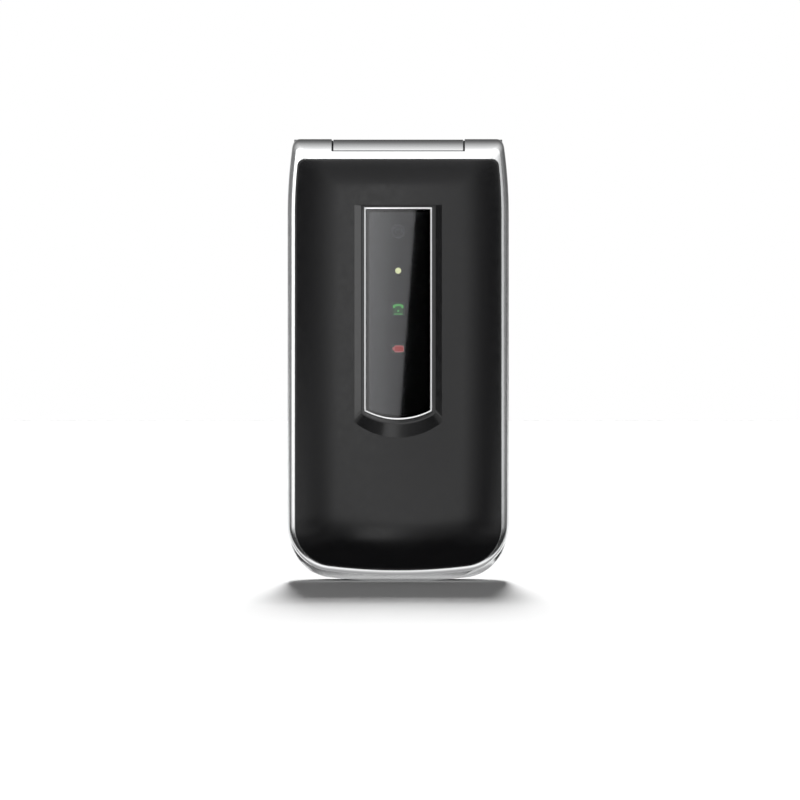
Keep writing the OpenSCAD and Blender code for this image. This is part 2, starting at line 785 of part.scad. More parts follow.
module rear_openings() {
    contact_top_y = battery_top_y + bay_gap + 3;
    box(-sim_w / 2 - seam, sim_w / 2 + seam, sim_low_y - seam, sim_low_y + sim_l + seam, -reach, 0);
    box(-5.1, 5.1, battery_top_y + bay_gap - 0.1, contact_top_y, -reach, 0);
    for (side = [-1, 1], y = base_screw_ys) translate([side * base_screw_x, y, 0]) {
        translate([0, 0, floor_z - reach]) cylinder(h = reach, r = screw_head_r + seam);
        translate([0, 0, floor_z - 1]) cylinder(h = reach, r = screw_r + fit);
    }
    translate([0, assist_y, 0]) cylinder(h = reach, r = assist_r + key_gap, center = true);
    box(-reach, 0, jack_y - jack_w / 2 - fit, jack_y + jack_w / 2 + fit,
        jack_z - jack_w / 2 - fit, jack_z + jack_w / 2 + fit);
    box(0, reach, usb_y - usb_w / 2 - fit, usb_y + usb_w / 2 + fit,
        usb_z - usb_h / 2 - fit, usb_z + usb_h / 2 + fit);
    box(base_half_w - rocker_room, reach, rocker_y - rocker_l / 2 - key_gap, rocker_y + rocker_l / 2 + key_gap,
        rocker_z - rocker_h / 2 - key_gap, rocker_z + rocker_h / 2 + key_gap);
    box(base_half_w - rocker_room, base_half_w - base_wall, rocker_y - rocker_l / 2 - rocker_flange - 0.5,
        rocker_y + rocker_l / 2 + rocker_flange + 0.5, cover_rim_z, rocker_z + rocker_h / 2 + 0.6);
    for (i = [-2:2]) translate([speaker_x + i * slot_pitch, speaker_y, 0])
        box(-slot_half_w, slot_half_w, -slot_half_l, slot_half_l, -reach, 0);
    for (side = [-1, 1]) translate([side * contact_x, 0, contact_z])
        box(-contact_w / 2 - fit, contact_w / 2 + fit, -1, base_wall + 1,
            -contact_half_h - fit, contact_half_h + fit);
    translate([0, cover_low_y, back_z - 1]) cylinder(h = 1.7, r = 3.5);
}

contact_w = 2.4;
contact_z = seam_z - 2.4;

module key_mat() {
    half = base_half_w - base_wall - mat_side_gap;
    low = first_row_y - 3 * key_pitch_y - key_h / 2 - mat_side_gap;
    color([0.75, 0.76, 0.78]) stand() difference() {
        box(-half, half, low, nav_y + mat_over_nav, mat_z, mat_z + mat_t);
        for (side = [-1, 1], y = base_screw_ys)
            translate([side * base_screw_x, y, mat_z - 1]) cylinder(h = 3, r = boss_r);
        translate([0, mic_y, mat_z - 1]) cylinder(h = 3, r = mic_r + bay_gap);
    }
}

module main_board() {
    color("darkgreen") stand() {
        difference() {
            plate(outline(base_inset + base_wall + 0.4, board_low_y, board_top_y, 2), board_z, board_z + board_t);
            for (side = [-1, 1], y = base_screw_ys)
                translate([side * base_screw_x, y, board_z - 1]) cylinder(h = 3, r = boss_r);
        }
        box(-1.5, 1.5, assist_y - 1.5, assist_y + 1.5, board_z - 0.6, board_z + 0.1);
    }
}

module board_shield() {
    low = sim_low_y + sim_l + 3;
    color([0.72, 0.73, 0.75]) stand() box(-shield_w / 2, shield_w / 2, low, low + shield_l,
        board_z - chip_t, board_z);
}

module sim_socket() {
    half = sim_w / 2;
    color([0.8, 0.8, 0.78]) stand() difference() {
        box(-half, half, sim_low_y, sim_low_y + sim_l, floor_z, board_z);
        box(sim_wall - half, half - sim_wall, sim_low_y - 1, sim_low_y + sim_l - 2,
            floor_z + sim_plate_t, floor_z + sim_plate_t + sim_slot);
    }
}

module battery() {
    color([0.22, 0.24, 0.28]) stand() plate(
        [for (p = rounded(battery_w, battery_l, 1.5)) p + [0, battery_low_y + battery_l / 2]],
        battery_z, battery_z + battery_t);
}

module battery_contacts() {
    y0 = battery_top_y + bay_gap;
    color([0.83, 0.68, 0.3]) stand() {
        box(-5, 5, y0, y0 + 2.6, floor_z - 2.2, board_z);
        for (i = [-1:1]) translate([i * 3, 0, floor_z])
            box(-slot_half_w, slot_half_w, battery_top_y + fit, y0 + 0.1, -1.9, -0.9);
    }
}

module loudspeaker() {
    color([0.25, 0.25, 0.27]) stand() plate(
        [for (p = rounded(speaker_w, speaker_l, 2)) p + [speaker_x, speaker_y]], upper_z, upper_z + 3);
}

module microphone() {
    color([0.7, 0.7, 0.72]) stand() translate([0, mic_y, board_z + board_t]) cylinder(h = 0.9, r = mic_r);
}

module vibration_motor() {
    color([0.78, 0.78, 0.8]) stand() translate([motor_x, motor_y, upper_z]) cylinder(h = 2.6, r = motor_r);
}

module antenna() {
    low = assist_y + assist_r + assist_flange + 0.3;
    color([0.85, 0.75, 0.5]) stand() box(-8, base_half_w - 4, low, upper_top_y - 0.2, upper_z, upper_z + 3.4);
}

module usb_socket() {
    x1 = base_half_w - 0.2;
    color([0.75, 0.75, 0.77]) stand() difference() {
        box(x1 - usb_l, x1, usb_y - usb_w / 2, usb_y + usb_w / 2, usb_z - usb_h / 2, usb_z + usb_h / 2);
        box(x1 - usb_l + 0.6, x1 + 1, usb_y - usb_w / 2 + 0.3, usb_y + usb_w / 2 - 0.3,
            usb_z - usb_h / 2 + 0.3, usb_z + usb_h / 2 - 0.3);
    }
}

module headset_jack() {
    x0 = 0.3 - base_half_w;
    color([0.3, 0.3, 0.3]) stand() difference() {
        box(x0, x0 + jack_l, jack_y - jack_w / 2, jack_y + jack_w / 2, jack_z - jack_w / 2, jack_z + jack_w / 2);
        bar(x0 - 1, x0 + jack_l - 0.8, jack_y, jack_z, jack_r);
    }
}

module charging_contacts() {
    color([0.9, 0.78, 0.4]) stand() for (side = [-1, 1])
        translate([side * contact_x, 0, contact_z]) box(-contact_w / 2, contact_w / 2, 0.2, base_wall + 0.2,
            -contact_half_h, contact_half_h);
}

module base_screws() {
    color([0.3, 0.3, 0.32]) stand() for (side = [-1, 1], y = base_screw_ys)
        translate([side * base_screw_x, y, floor_z - 0.9]) difference() {
            union() {
                cylinder(h = 0.85, r = screw_head_r);
                cylinder(h = seam_z - floor_z + 2.1, r = screw_r);
            }
            cylinder(h = 0.9, r = hex_r, center = true, $fn = 6);
        }
}

module battery_cover() {
    color([0.12, 0.12, 0.13]) stand() difference() {
        intersection() {
            base_envelope();
            box(-reach, reach, cover_low_y + cover_gap, cover_top_y - cover_gap, -reach, cover_rim_z - cover_gap);
        }
        inner_plate(base_inset + base_wall + 1.6, cover_low_y + cover_seat + 0.1, cover_top_y - cover_seat - 0.1,
            back_z + battery_cover_t, reach);
    }
}

// ---- Keys ----

function key_outline(k, grow) = [for (p = rounded(key_w + 2 * grow, key_h + 2 * grow, key_r + grow))
    p + [k[1] * key_pitch_x, first_row_y - k[2] * key_pitch_y]];

function side_key_outline(k, grow) = [for (p = rounded(side_key_w + 2 * grow, k[3] + 2 * grow, key_r + grow))
    p + [k[1] * side_key_x, nav_y + k[2]]];

// Crowned cap on a thin flange that keeps the key behind the cover
module key_body(cap, flange, rim, crown) {
    plate(flange, flange_z, flange_z + flange_t);
    loft([flange_z + flange_t, key_top_z - 0.5, key_top_z - 0.25, key_top_z], [cap, cap, rim, crown]);
}

module number_key(name) {
    k = number_keys[search([name], number_keys)[0]];
    color([0.9, 0.9, 0.9]) stand()
        key_body(key_outline(k, 0), key_outline(k, key_gap + key_flange), key_outline(k, -key_ease),
            key_outline(k, -key_crown));
}

module side_key(name, tone) {
    k = side_keys[search([name], side_keys)[0]];
    color(tone) stand() key_body(side_key_outline(k, 0), side_key_outline(k, key_gap + key_flange),
        side_key_outline(k, -key_ease), side_key_outline(k, -key_crown));
}

module nav_ring() {
    inner = ok_r + key_gap + 0.05;
    low = plate_z - 0.6;
    profile = [[inner, low], [nav_r + 0.6, low], [nav_r + 0.6, low + 0.2], [nav_r, low + 0.2],
        [nav_r, key_top_z - 0.4], [nav_r - 0.4, key_top_z],
        [inner + 0.3, key_top_z - 0.1], [inner, key_top_z - 0.3]];
    color([0.75, 0.76, 0.78]) stand() translate([0, nav_y, 0]) rotate_extrude() polygon(profile);
}

module ok_key() {
    low = mat_z + mat_t + key_travel;
    profile = [[0, low], [ok_r, low], [ok_r, key_top_z - 0.4], [ok_r - 0.3, key_top_z - 0.15],
        [ok_r / 2, key_top_z], [0, key_top_z]];
    color([0.9, 0.9, 0.9]) stand() translate([0, nav_y, 0]) rotate_extrude() polygon(profile);
}

module volume_rocker() {
    x1 = base_half_w + rocker_proud;
    half = rocker_l / 2;
    color([0.75, 0.76, 0.78]) stand() {
        difference() {
            box(x1 - rocker_t, x1, rocker_y - half, rocker_y + half,
                rocker_z - rocker_h / 2, rocker_z + rocker_h / 2);
            bar(x1 - 0.2, x1 + 1, rocker_y, rocker_z, 0.8);
        }
        box(x1 - rocker_t - rocker_flange_t, x1 - rocker_t,
            rocker_y - half - rocker_flange, rocker_y + half + rocker_flange,
            rocker_z - rocker_h / 2, rocker_z + rocker_h / 2);
    }
}

module assist_button() {
    stem_z = board_z - 0.6 - key_travel - fit;
    color([0.7, 0.12, 0.1]) stand() translate([0, assist_y, 0]) {
        translate([0, 0, back_z + 0.2]) cylinder(h = 1.4, r = assist_r);
        translate([0, 0, upper_z + 0.1]) cylinder(h = 0.5, r = assist_r + assist_flange);
        translate([0, 0, upper_z + 0.5]) cylinder(h = stem_z - upper_z - 0.5, r = 1.2);
    }
}

lid_frame();
lid_panel();
window_bezel();
window_trim();
window_lens();
camera_module();
camera_lens();
dot_lamp();
call_lamp();
battery_lamp();
lid_board();
display_panel();
display_lens();
lid_inner_cover();
earpiece();
earpiece_mesh();
closing_magnet();
lid_bumpers();
lid_screws();
hinge_shaft();
hinge_pin();
hinge_cartridge();
hinge_bush();
base_front_cover();
base_rear_cover();
key_mat();
main_board();
board_shield();
sim_socket();
battery();
battery_contacts();
loudspeaker();
microphone();
vibration_motor();
antenna();
usb_socket();
headset_jack();
charging_contacts();
base_screws();
battery_cover();
number_key("key_1");  // key_1
number_key("key_2");  // key_2
number_key("key_3");  // key_3
number_key("key_4");  // key_4
number_key("key_5");  // key_5
number_key("key_6");  // key_6
number_key("key_7");  // key_7
number_key("key_8");  // key_8
number_key("key_9");  // key_9
number_key("key_star");  // key_star
number_key("key_0");  // key_0
number_key("key_hash");  // key_hash
side_key("soft_key_left", [0.75, 0.76, 0.78]);  // soft_key_left
side_key("soft_key_right", [0.75, 0.76, 0.78]);  // soft_key_right
side_key("call_key", [0.2, 0.65, 0.3]);  // call_key
side_key("end_key", [0.75, 0.15, 0.12]);  // end_key
nav_ring();
ok_key();
volume_rocker();
assist_button();
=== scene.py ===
import math

import bmesh
import bpy
from mathutils import Matrix, Vector

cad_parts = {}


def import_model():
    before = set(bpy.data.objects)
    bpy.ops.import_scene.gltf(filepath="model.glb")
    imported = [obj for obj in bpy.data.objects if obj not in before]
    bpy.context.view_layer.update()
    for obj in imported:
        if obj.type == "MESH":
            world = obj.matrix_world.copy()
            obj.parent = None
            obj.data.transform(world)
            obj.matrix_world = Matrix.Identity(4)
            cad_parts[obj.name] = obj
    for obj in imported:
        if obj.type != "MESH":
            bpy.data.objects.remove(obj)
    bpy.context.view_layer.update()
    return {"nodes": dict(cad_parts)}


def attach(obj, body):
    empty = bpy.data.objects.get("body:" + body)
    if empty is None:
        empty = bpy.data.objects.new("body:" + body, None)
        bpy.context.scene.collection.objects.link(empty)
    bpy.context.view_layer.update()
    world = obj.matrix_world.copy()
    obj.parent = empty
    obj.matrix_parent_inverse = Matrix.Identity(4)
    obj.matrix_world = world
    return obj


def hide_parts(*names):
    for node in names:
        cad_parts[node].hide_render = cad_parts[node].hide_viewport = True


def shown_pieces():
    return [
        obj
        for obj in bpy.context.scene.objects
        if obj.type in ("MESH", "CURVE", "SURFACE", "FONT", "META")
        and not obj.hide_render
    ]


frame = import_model()
MM = 0.001

# Sizes in millimetres, as in the part's source. Pieces are drawn lying down: x across, y up the phone,
# z out of the lid's front. stand() raises them.
PHONE_H, PHONE_W, CORNER_R, BOW_R, FLARE_R, FLARE_L, TOP_R, FOOT_HALF = 104, 52, 11, 130, 115, 18, 1.7, 8
LID_T, LID_GAP, RIM_W, RIM_LOW, LIP, LID_WALL = 7.5, 0.4, 1.65, 1.15, 1.4, 1.5
CROWN_DROP, CROWN_SIDE, CROWN_LOW, CROWN_TOP_DROP, CROWN_TOP = 1.1, 10, 13, 0.5, 7
BARREL_R, BARREL_W, BARREL_SHOW, NOSE_R, NOSE_SINK, HINGE_GAP = 4.6, 30.7, 2.7, 4.4, 0.21, 0.35
BASE_T, BASE_INSET, BACK_R, BACK_LOW_R, BASE_WALL = 10.6, 0.3, 3.5, 1.8, 1.5
KEY_W, KEY_H, PITCH_X, PITCH_Y, KEY_GAP, NAV_R, OK_R = 14, 10.4, 15.6, 12.3, 0.25, 9.2, 4.5
SEAM = 0.1
# How many parts the outline's arcs have: foot, lower corner, side and upper corner
FOOT_N, CORNER_N, SIDE_N, TOP_N = 18, 16, 12, 7

BACK_Z = -9.6
FACE_Z = BACK_Z + BASE_T
LID_BACK = FACE_Z + LID_GAP
LID_FRONT = LID_BACK + LID_T
WINDOW_Z = LID_FRONT + 0.7
SEAM_Z = FACE_Z - 4
COVER_RIM = BACK_Z + 3
WELL_Z = FACE_Z - 0.8
PLATE_Z = WELL_Z - 1
FLANGE_Z = PLATE_Z - 0.5
FLOOR_Z = -4.4
BATTERY_Z = -8.5
AXIS_Y, AXIS_Z = PHONE_H - BARREL_R, LID_BACK + 0.5
NOSE_Y, NOSE_Z = PHONE_H - NOSE_R, LID_FRONT - CROWN_TOP_DROP - NOSE_R - NOSE_SINK
KNUCKLE = 24.48
# Where the solids' nose has its centre with the lid open by 160 degrees
OPEN_Y, OPEN_Z = 99.93, -0.142
BASE_TOP = PHONE_H - 5
PANEL_TOP = PHONE_H - 4.8
LID_FLOOR = LID_FRONT - 2.4
LID_CAVITY = LID_FLOOR - 0.6
HINGE_WALL = AXIS_Y - BARREL_R - HINGE_GAP - 0.9
# The rim: its edge's height, its radius and the angle where the round ends, then the lip's share of the
# width and its rise
RIM_Z, RIM_ROUND, RIM_TURN, RIM_FLAT, RIM_LIP = LID_FRONT - CROWN_DROP, 1.7, 26, 0.3, 0.19
# The slopes of the nose's flat part and of the crown's sides, in degrees off the front
NOSE_LEAN, SIDE_LEAN = 12, 20
# The chamfer on the lid's edge below the barrel, from front to back as (y, z)
CHAMFER = (100.59, 8.51), (101.43, 6.98)

# The window's outlines, each as half width, top, corner and lowest point
WINDOW = (10.25, 88.3, 37.4, 33.8)
SLOPE_END = (8.65, 88.1, 39.3, 36.95)
TRIM = (8.05, 87.8, 39.9, 37.85)
LENS = (7.45, 87.2, 39.9, 38.45)
PANEL_HOLE = (TRIM[0] + 0.5, WINDOW[1] - 0.6, WINDOW[2] + 1.4, WINDOW[3] + 2)
# How far in from the panel's edge its rings lie, and less where the window is near
PANEL_STEPS = (0, 0.006, 0.02, 0.04, 0.06, 0.3, 0.7, 1.3, 2, 2.8, 3.6, 4.5, 5.5, 6.5, 7.5, 8.6, 9.8, 11, 12.2,
               13.6, 15, 17, 19.5, 22)
LENS_Z, LENS_T = WINDOW_Z - 0.1, 0.9
UNDER_LENS = LENS_Z - LENS_T - 0.05
CAMERA_Y, DOT_Y, CALL_Y, CELL_Y = 82.1, 72.9, 63.9, 54.6
KEY_TOP = FACE_Z - 0.2
NAV_Y, ROW_Y = 75.8, 55.0
COVER_LOW, COVER_TOP, GRIP_Y = 5, 76, 70.5
BASE_HALF = PHONE_W / 2 - BASE_INSET
DISPLAY_Y = 54.0
EARPIECE_Y = 14.4
LID_SCREWS = [(x, y) for x in (-21.4, 21.4) for y in (20.4, 88.55)]
BASE_SCREWS = [(x, y) for x in (-20.8, 20.8) for y in (9, 63.25)]


# ---- Outlines ----


def arc(cx, cy, r, a0, a1, n, first=0):
    """Points along an arc, from its first-th to its n-th; angles in degrees."""
    steps = [math.radians(a0 + (a1 - a0) * i / n) for i in range(first, n + 1)]
    return [(cx + r * math.cos(a), cy + r * math.sin(a)) for a in steps]


def circle(r, x, y, n=40):
    return arc(x, y, r, 0, 360 - 360 / n, n - 1)


def outline(s, low, high, r):
    """The phone's outline, set in by s, from low to high with upper corners of radius r."""
    w, rc, rb, rf = PHONE_W / 2 - s, max(CORNER_R - s, 0.4), BOW_R - s, FLARE_R - s
    cx = w - rc
    cy = low + rb - math.sqrt((rb - rc) ** 2 - cx ** 2)
    turn = math.degrees(math.atan2(cy - low - rb, cx))
    fy, ty = PHONE_H - FLARE_L, high - r
    tx = w - rf + math.sqrt((rf - r) ** 2 - (ty - fy) ** 2)
    lean = math.degrees(math.atan2(ty - fy, tx - w + rf))
    right = (
        arc(0, low + rb, rb, -90 - (90 + turn) / (2 * FOOT_N), turn, FOOT_N, 1)
        + arc(cx, cy, rc, turn, 0, CORNER_N, 1)
        + [(w, cy + (fy - cy) * i / 20) for i in range(1, 20)]
        + arc(w - rf, fy, rf, 0, lean, SIDE_N)
        + arc(tx, ty, r, lean, 90, TOP_N, 1)
    )
    top = [(tx * (1 - i / 10), high) for i in range(1, 20)]
    return right + top + [(-x, y) for x, y in reversed(right)]


def rounded(w, h, r, x=0, y=0, n=8):
    """A rectangle with round corners about a point."""
    return [
        (x + px, y + py)
        for px, py in arc(w / 2 - r, r - h / 2, r, -90, 0, n)
        + arc(w / 2 - r, h / 2 - r, r, 0, 90, n)
        + arc(r - w / 2, h / 2 - r, r, 90, 180, n)
        + arc(r - w / 2, r - h / 2, r, 180, 270, n)
    ]


def window_shape(sizes):
    """Straight sides, a square top and a bowed lower edge."""
    half, top, corner, low = sizes
    bow = corner - low
    r = (half * half + bow * bow) / (2 * bow)
    a = math.degrees(math.asin(half / r))
    sides = [(s, top + (corner - top) * i / 40) for s in (-half, half) for i in range(1, 40)]
    across = [(half * (1 - i / 10), top) for i in range(21)]
    return across + sides[:39] + arc(0, low + r, r, -90 - a, -90 + a, 28) + sides[:38:-1]


def set_in(sizes, by, corner=1):
    """A window outline's sizes drawn in by a distance, and its corners by a share of it."""
    return sizes[0] - by, sizes[1] - by, sizes[2] + by * corner, sizes[3] + by


def between(a, b, t):
    return tuple(p + (q - p) * t for p, q in zip(a, b))


def at(points, z):
    """A flat outline lifted to height z."""
    return [(x, y, z) for x, y in points]


# ---- Meshes ----


def stand(p):
    return Vector((p[0], -p[2], p[1])) * MM


def placed(name, data):
    """A new object in the scene."""
    obj = bpy.data.objects.new(name, data)
    bpy.context.scene.collection.objects.link(obj)
    return obj


def discard(obj):
    mesh = obj.data
    bpy.data.objects.remove(obj)
    bpy.data.meshes.remove(mesh)


def plain_mesh(obj):
    """What the object's modifiers or text make, as a new mesh."""
    bpy.context.view_layer.update()
    return bpy.data.meshes.new_from_object(obj.evaluated_get(bpy.context.evaluated_depsgraph_get()))


def piece(name, points, faces, material=None, crease=35):
    """A closed mesh from points in the lying frame, with outward faces, smooth up to the crease angle."""
    mesh = bpy.data.meshes.new(name)
    mesh.from_pydata([stand(p) for p in points], [], faces)
    obj = placed(name, mesh)
    tidy(mesh, crease)
    if material:
        mesh.materials.append(material)
    return obj


def tidy(mesh, crease=35):
    bm = bmesh.new()
    bm.from_mesh(mesh)
    bmesh.ops.remove_doubles(bm, verts=bm.verts, dist=2e-6)
    bmesh.ops.dissolve_degenerate(bm, edges=bm.edges, dist=1e-7)
    bmesh.ops.recalc_face_normals(bm, faces=bm.faces)
    bm.to_mesh(mesh)
    bm.free()
    mesh.shade_smooth()
    mesh.set_sharp_from_angle(angle=math.radians(crease))


def loft(name, rings, material=None, closed=False, crease=35):
    """A skin through rings of equally many points, capped, or joined end to start where closed."""
    n, count = len(rings[0]), len(rings)
    points = [p for ring in rings for p in ring]
    spans = [(k, (k + 1) % count) for k in range(count if closed else count - 1)]
    faces = [
        (a * n + i, a * n + (i + 1) % n, b * n + (i + 1) % n, b * n + i)
        for a, b in spans
        for i in range(n)
    ]
    if not closed:
        faces += [tuple(reversed(range(n))), tuple(range((count - 1) * n, count * n))]
    return piece(name, points, faces, material, crease)


def plate(points, z0, z1, name="plate", material=None):
    return loft(name, [at(points, z0), at(points, z1)], material)


def block(x0, x1, y0, y1, z0, z1, material=None):
    corners = [(x0, y0), (x1, y0), (x1, y1), (x0, y1)]
    return plate(corners, z0, z1, "block", finishes[material] if material else None)


def bar(x0, x1, y, z, r):
    """A round bar along x."""
    turns = [2 * math.pi * i / 64 for i in range(64)]
    return loft("bar", [[(x, y + math.cos(t) * r, z + math.sin(t) * r) for t in turns] for x in (x0, x1)])


def spun(name, profile, x, y, material=None, n=72, crease=35):
    """A profile of (radius, height) pairs turned about an upright axis; its ends lie on the axis or meet."""
    turns = [2 * math.pi * i / n for i in range(n)]
    rings = [[(x + r * math.cos(t), y + r * math.sin(t), z) for t in turns] for r, z in profile]
    hollow = profile[0][0] > 0 or profile[-1][0] > 0
    return loft(name, rings, material, closed=hollow, crease=crease)


def stud(x, y, r, z0, z1, n=40):
    return plate(circle(r, x, y, n), z0, z1)


def carve(obj, cutters, operation="DIFFERENCE"):
    """Takes the cutters out of obj, or adds them to it, and removes them from the scene."""
    for c in cutters:
        step = obj.modifiers.new("step", "BOOLEAN")
        step.object, step.operation, step.solver = c, operation, "EXACT"
    mesh, old = plain_mesh(obj), obj.data
    obj.modifiers.clear()
    obj.data = mesh
    name = old.name
    bpy.data.meshes.remove(old)
    mesh.name = name
    for c in cutters:
        discard(c)
    tidy(mesh)
    return obj


def finish_piece(obj, body, slot, *nodes):
    """Puts the piece on its body, in place of its CAD nodes. Its slot is not used."""
    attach(obj, body)
    if nodes:
        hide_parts(*nodes)
    return obj


# ---- Finishes ----


class Shade:
    """A node's socket that Python arithmetic builds on."""

    def __init__(self, finish, socket):
        self.finish, self.socket = finish, socket

    def _math(self, operation, *values):
        return self.finish.node("ShaderNodeMath", {"operation": operation}, dict(enumerate(values)))

    def __add__(self, other):
        return self._math("ADD", self, other)

    def __sub__(self, other):
        return self._math("SUBTRACT", self, other)

    def __rsub__(self, other):
        return self._math("SUBTRACT", other, self)

    def __mul__(self, other):
        return self._math("MULTIPLY", self, other)

    def __gt__(self, other):
        return self._math("GREATER_THAN", self, other)

    __radd__, __rmul__ = __add__, __mul__


class Finish:
    """A material, made by joining nodes to its Principled shader."""

    def __init__(self, name, colour, roughness, **constants):
        self.material = bpy.data.materials.new(name)
        self.material.use_nodes = True
        self.tree = self.material.node_tree
        self.shader = self.tree.nodes["Principled BSDF"]
        self.set("Base Color", colour)
        self.set("Roughness", roughness)
        for socket, value in constants.items():
            self.set(socket.replace("_", " "), value)

    def set(self, socket, value):
        """Gives one socket of the shader a constant or a link."""
        target = self.shader.inputs[socket]
        if isinstance(value, Shade):
            self.tree.links.new(value.socket, target)
        elif target.type == "RGBA" and len(value) == 3:
            target.default_value = (*value, 1)
        else:
            target.default_value = value

    def node(self, kind, settings=None, sockets=None, output=0):
        """A node of this kind. Its settings go first, then its sockets' values and links."""
        made = self.tree.nodes.new(kind)
        for key, value in (settings or {}).items():
            if key == "stops":
                ramp = made.color_ramp
                while len(ramp.elements) < len(value):
                    ramp.elements.new(0.5)
                for element, (place, colour) in zip(ramp.elements, value):
                    element.position, element.color = place, (*colour, 1)
            else:
                setattr(made, key, value)
        for key, value in (sockets or {}).items():
            target = made.inputs[key]
            if isinstance(value, Shade):
                self.tree.links.new(value.socket, target)
            elif target.type == "RGBA" and len(value) == 3:
                target.default_value = (*value, 1)
            else:
                target.default_value = value
        return Shade(self, made.outputs[output])

    def place(self, output="Object"):
        return self.node("ShaderNodeTexCoord", output=output)

    def axis(self, name):
        """One coordinate of the place on the object, in millimetres."""
        split = self.node("ShaderNodeSeparateXYZ", sockets={0: self.place()}, output=name)
        return split * 1000

    def noise(self, size, detail=3, stretch=None):
        """Noise from 0 to 1 whose features are about size millimetres wide."""
        where = self.place()
        if stretch:
            where = self.node("ShaderNodeMapping", sockets={"Vector": where, "Scale": stretch})
        return self.node(
            "ShaderNodeTexNoise", sockets={"Vector": where, "Scale": 1 / (size * MM), "Detail": detail}
        )

    def mix(self, share, a, b):
        """Colour between a and b."""
        return self.node("ShaderNodeMix", {"data_type": "RGBA"}, {0: share, 6: a, 7: b}, output=2)

    def bump(self, height, strength, depth):
        """Relief of this depth in millimetres."""
        sockets = {"Height": height, "Strength": strength, "Distance": depth * MM}
        self.set("Normal", self.node("ShaderNodeBump", sockets=sockets))
        return self


def within(axis, middle, half):
    """1 where the axis lies within half of the middle, 0 elsewhere."""
    return (axis > middle - half) * (1 - (axis > middle + half))


def around_tone(colour, spread):
    """A colour's darker and lighter neighbours."""
    return [c * (1 - spread) for c in colour], [min(1, c * (1 + spread)) for c in colour]


def painted_silver(name, colour, roughness, flake):
    """Satin metallic paint: fine flakes and a slight orange peel."""
    f = Finish(name, colour, roughness, Metallic=1.0, Coat_Roughness=0.12)
    grain = f.noise(0.05, 2)
    f.set("Base Color", f.mix(grain, *around_tone(colour, flake)))
    f.set("Roughness", roughness + 0.1 * (f.noise(3.0, 2) - 0.5))
    f.set("Coat Weight", 0.25 + 0.1 * f.noise(6, 2))
    return f.bump(f.noise(0.9, 2), 0.25, 0.004)


def moulded(name, colour, roughness, grain=0.12, depth=0.01, coat=0.0, uneven=0.14, **constants):
    """Moulded plastic: a fine eroded grain, a little uneven in gloss and tone."""
    f = Finish(name, colour, roughness, **constants)
    tone = f.noise(8, 3)
    f.set("Base Color", f.mix(tone, *around_tone(colour, uneven)))
    f.set("Roughness", roughness + 0.12 * (f.noise(1.4, 4) - 0.5))
    if coat:
        f.set("Coat Weight", coat + 0.08 * (f.noise(5, 2) - 0.5))
    return f.bump(f.noise(grain, 3), 0.5, depth)


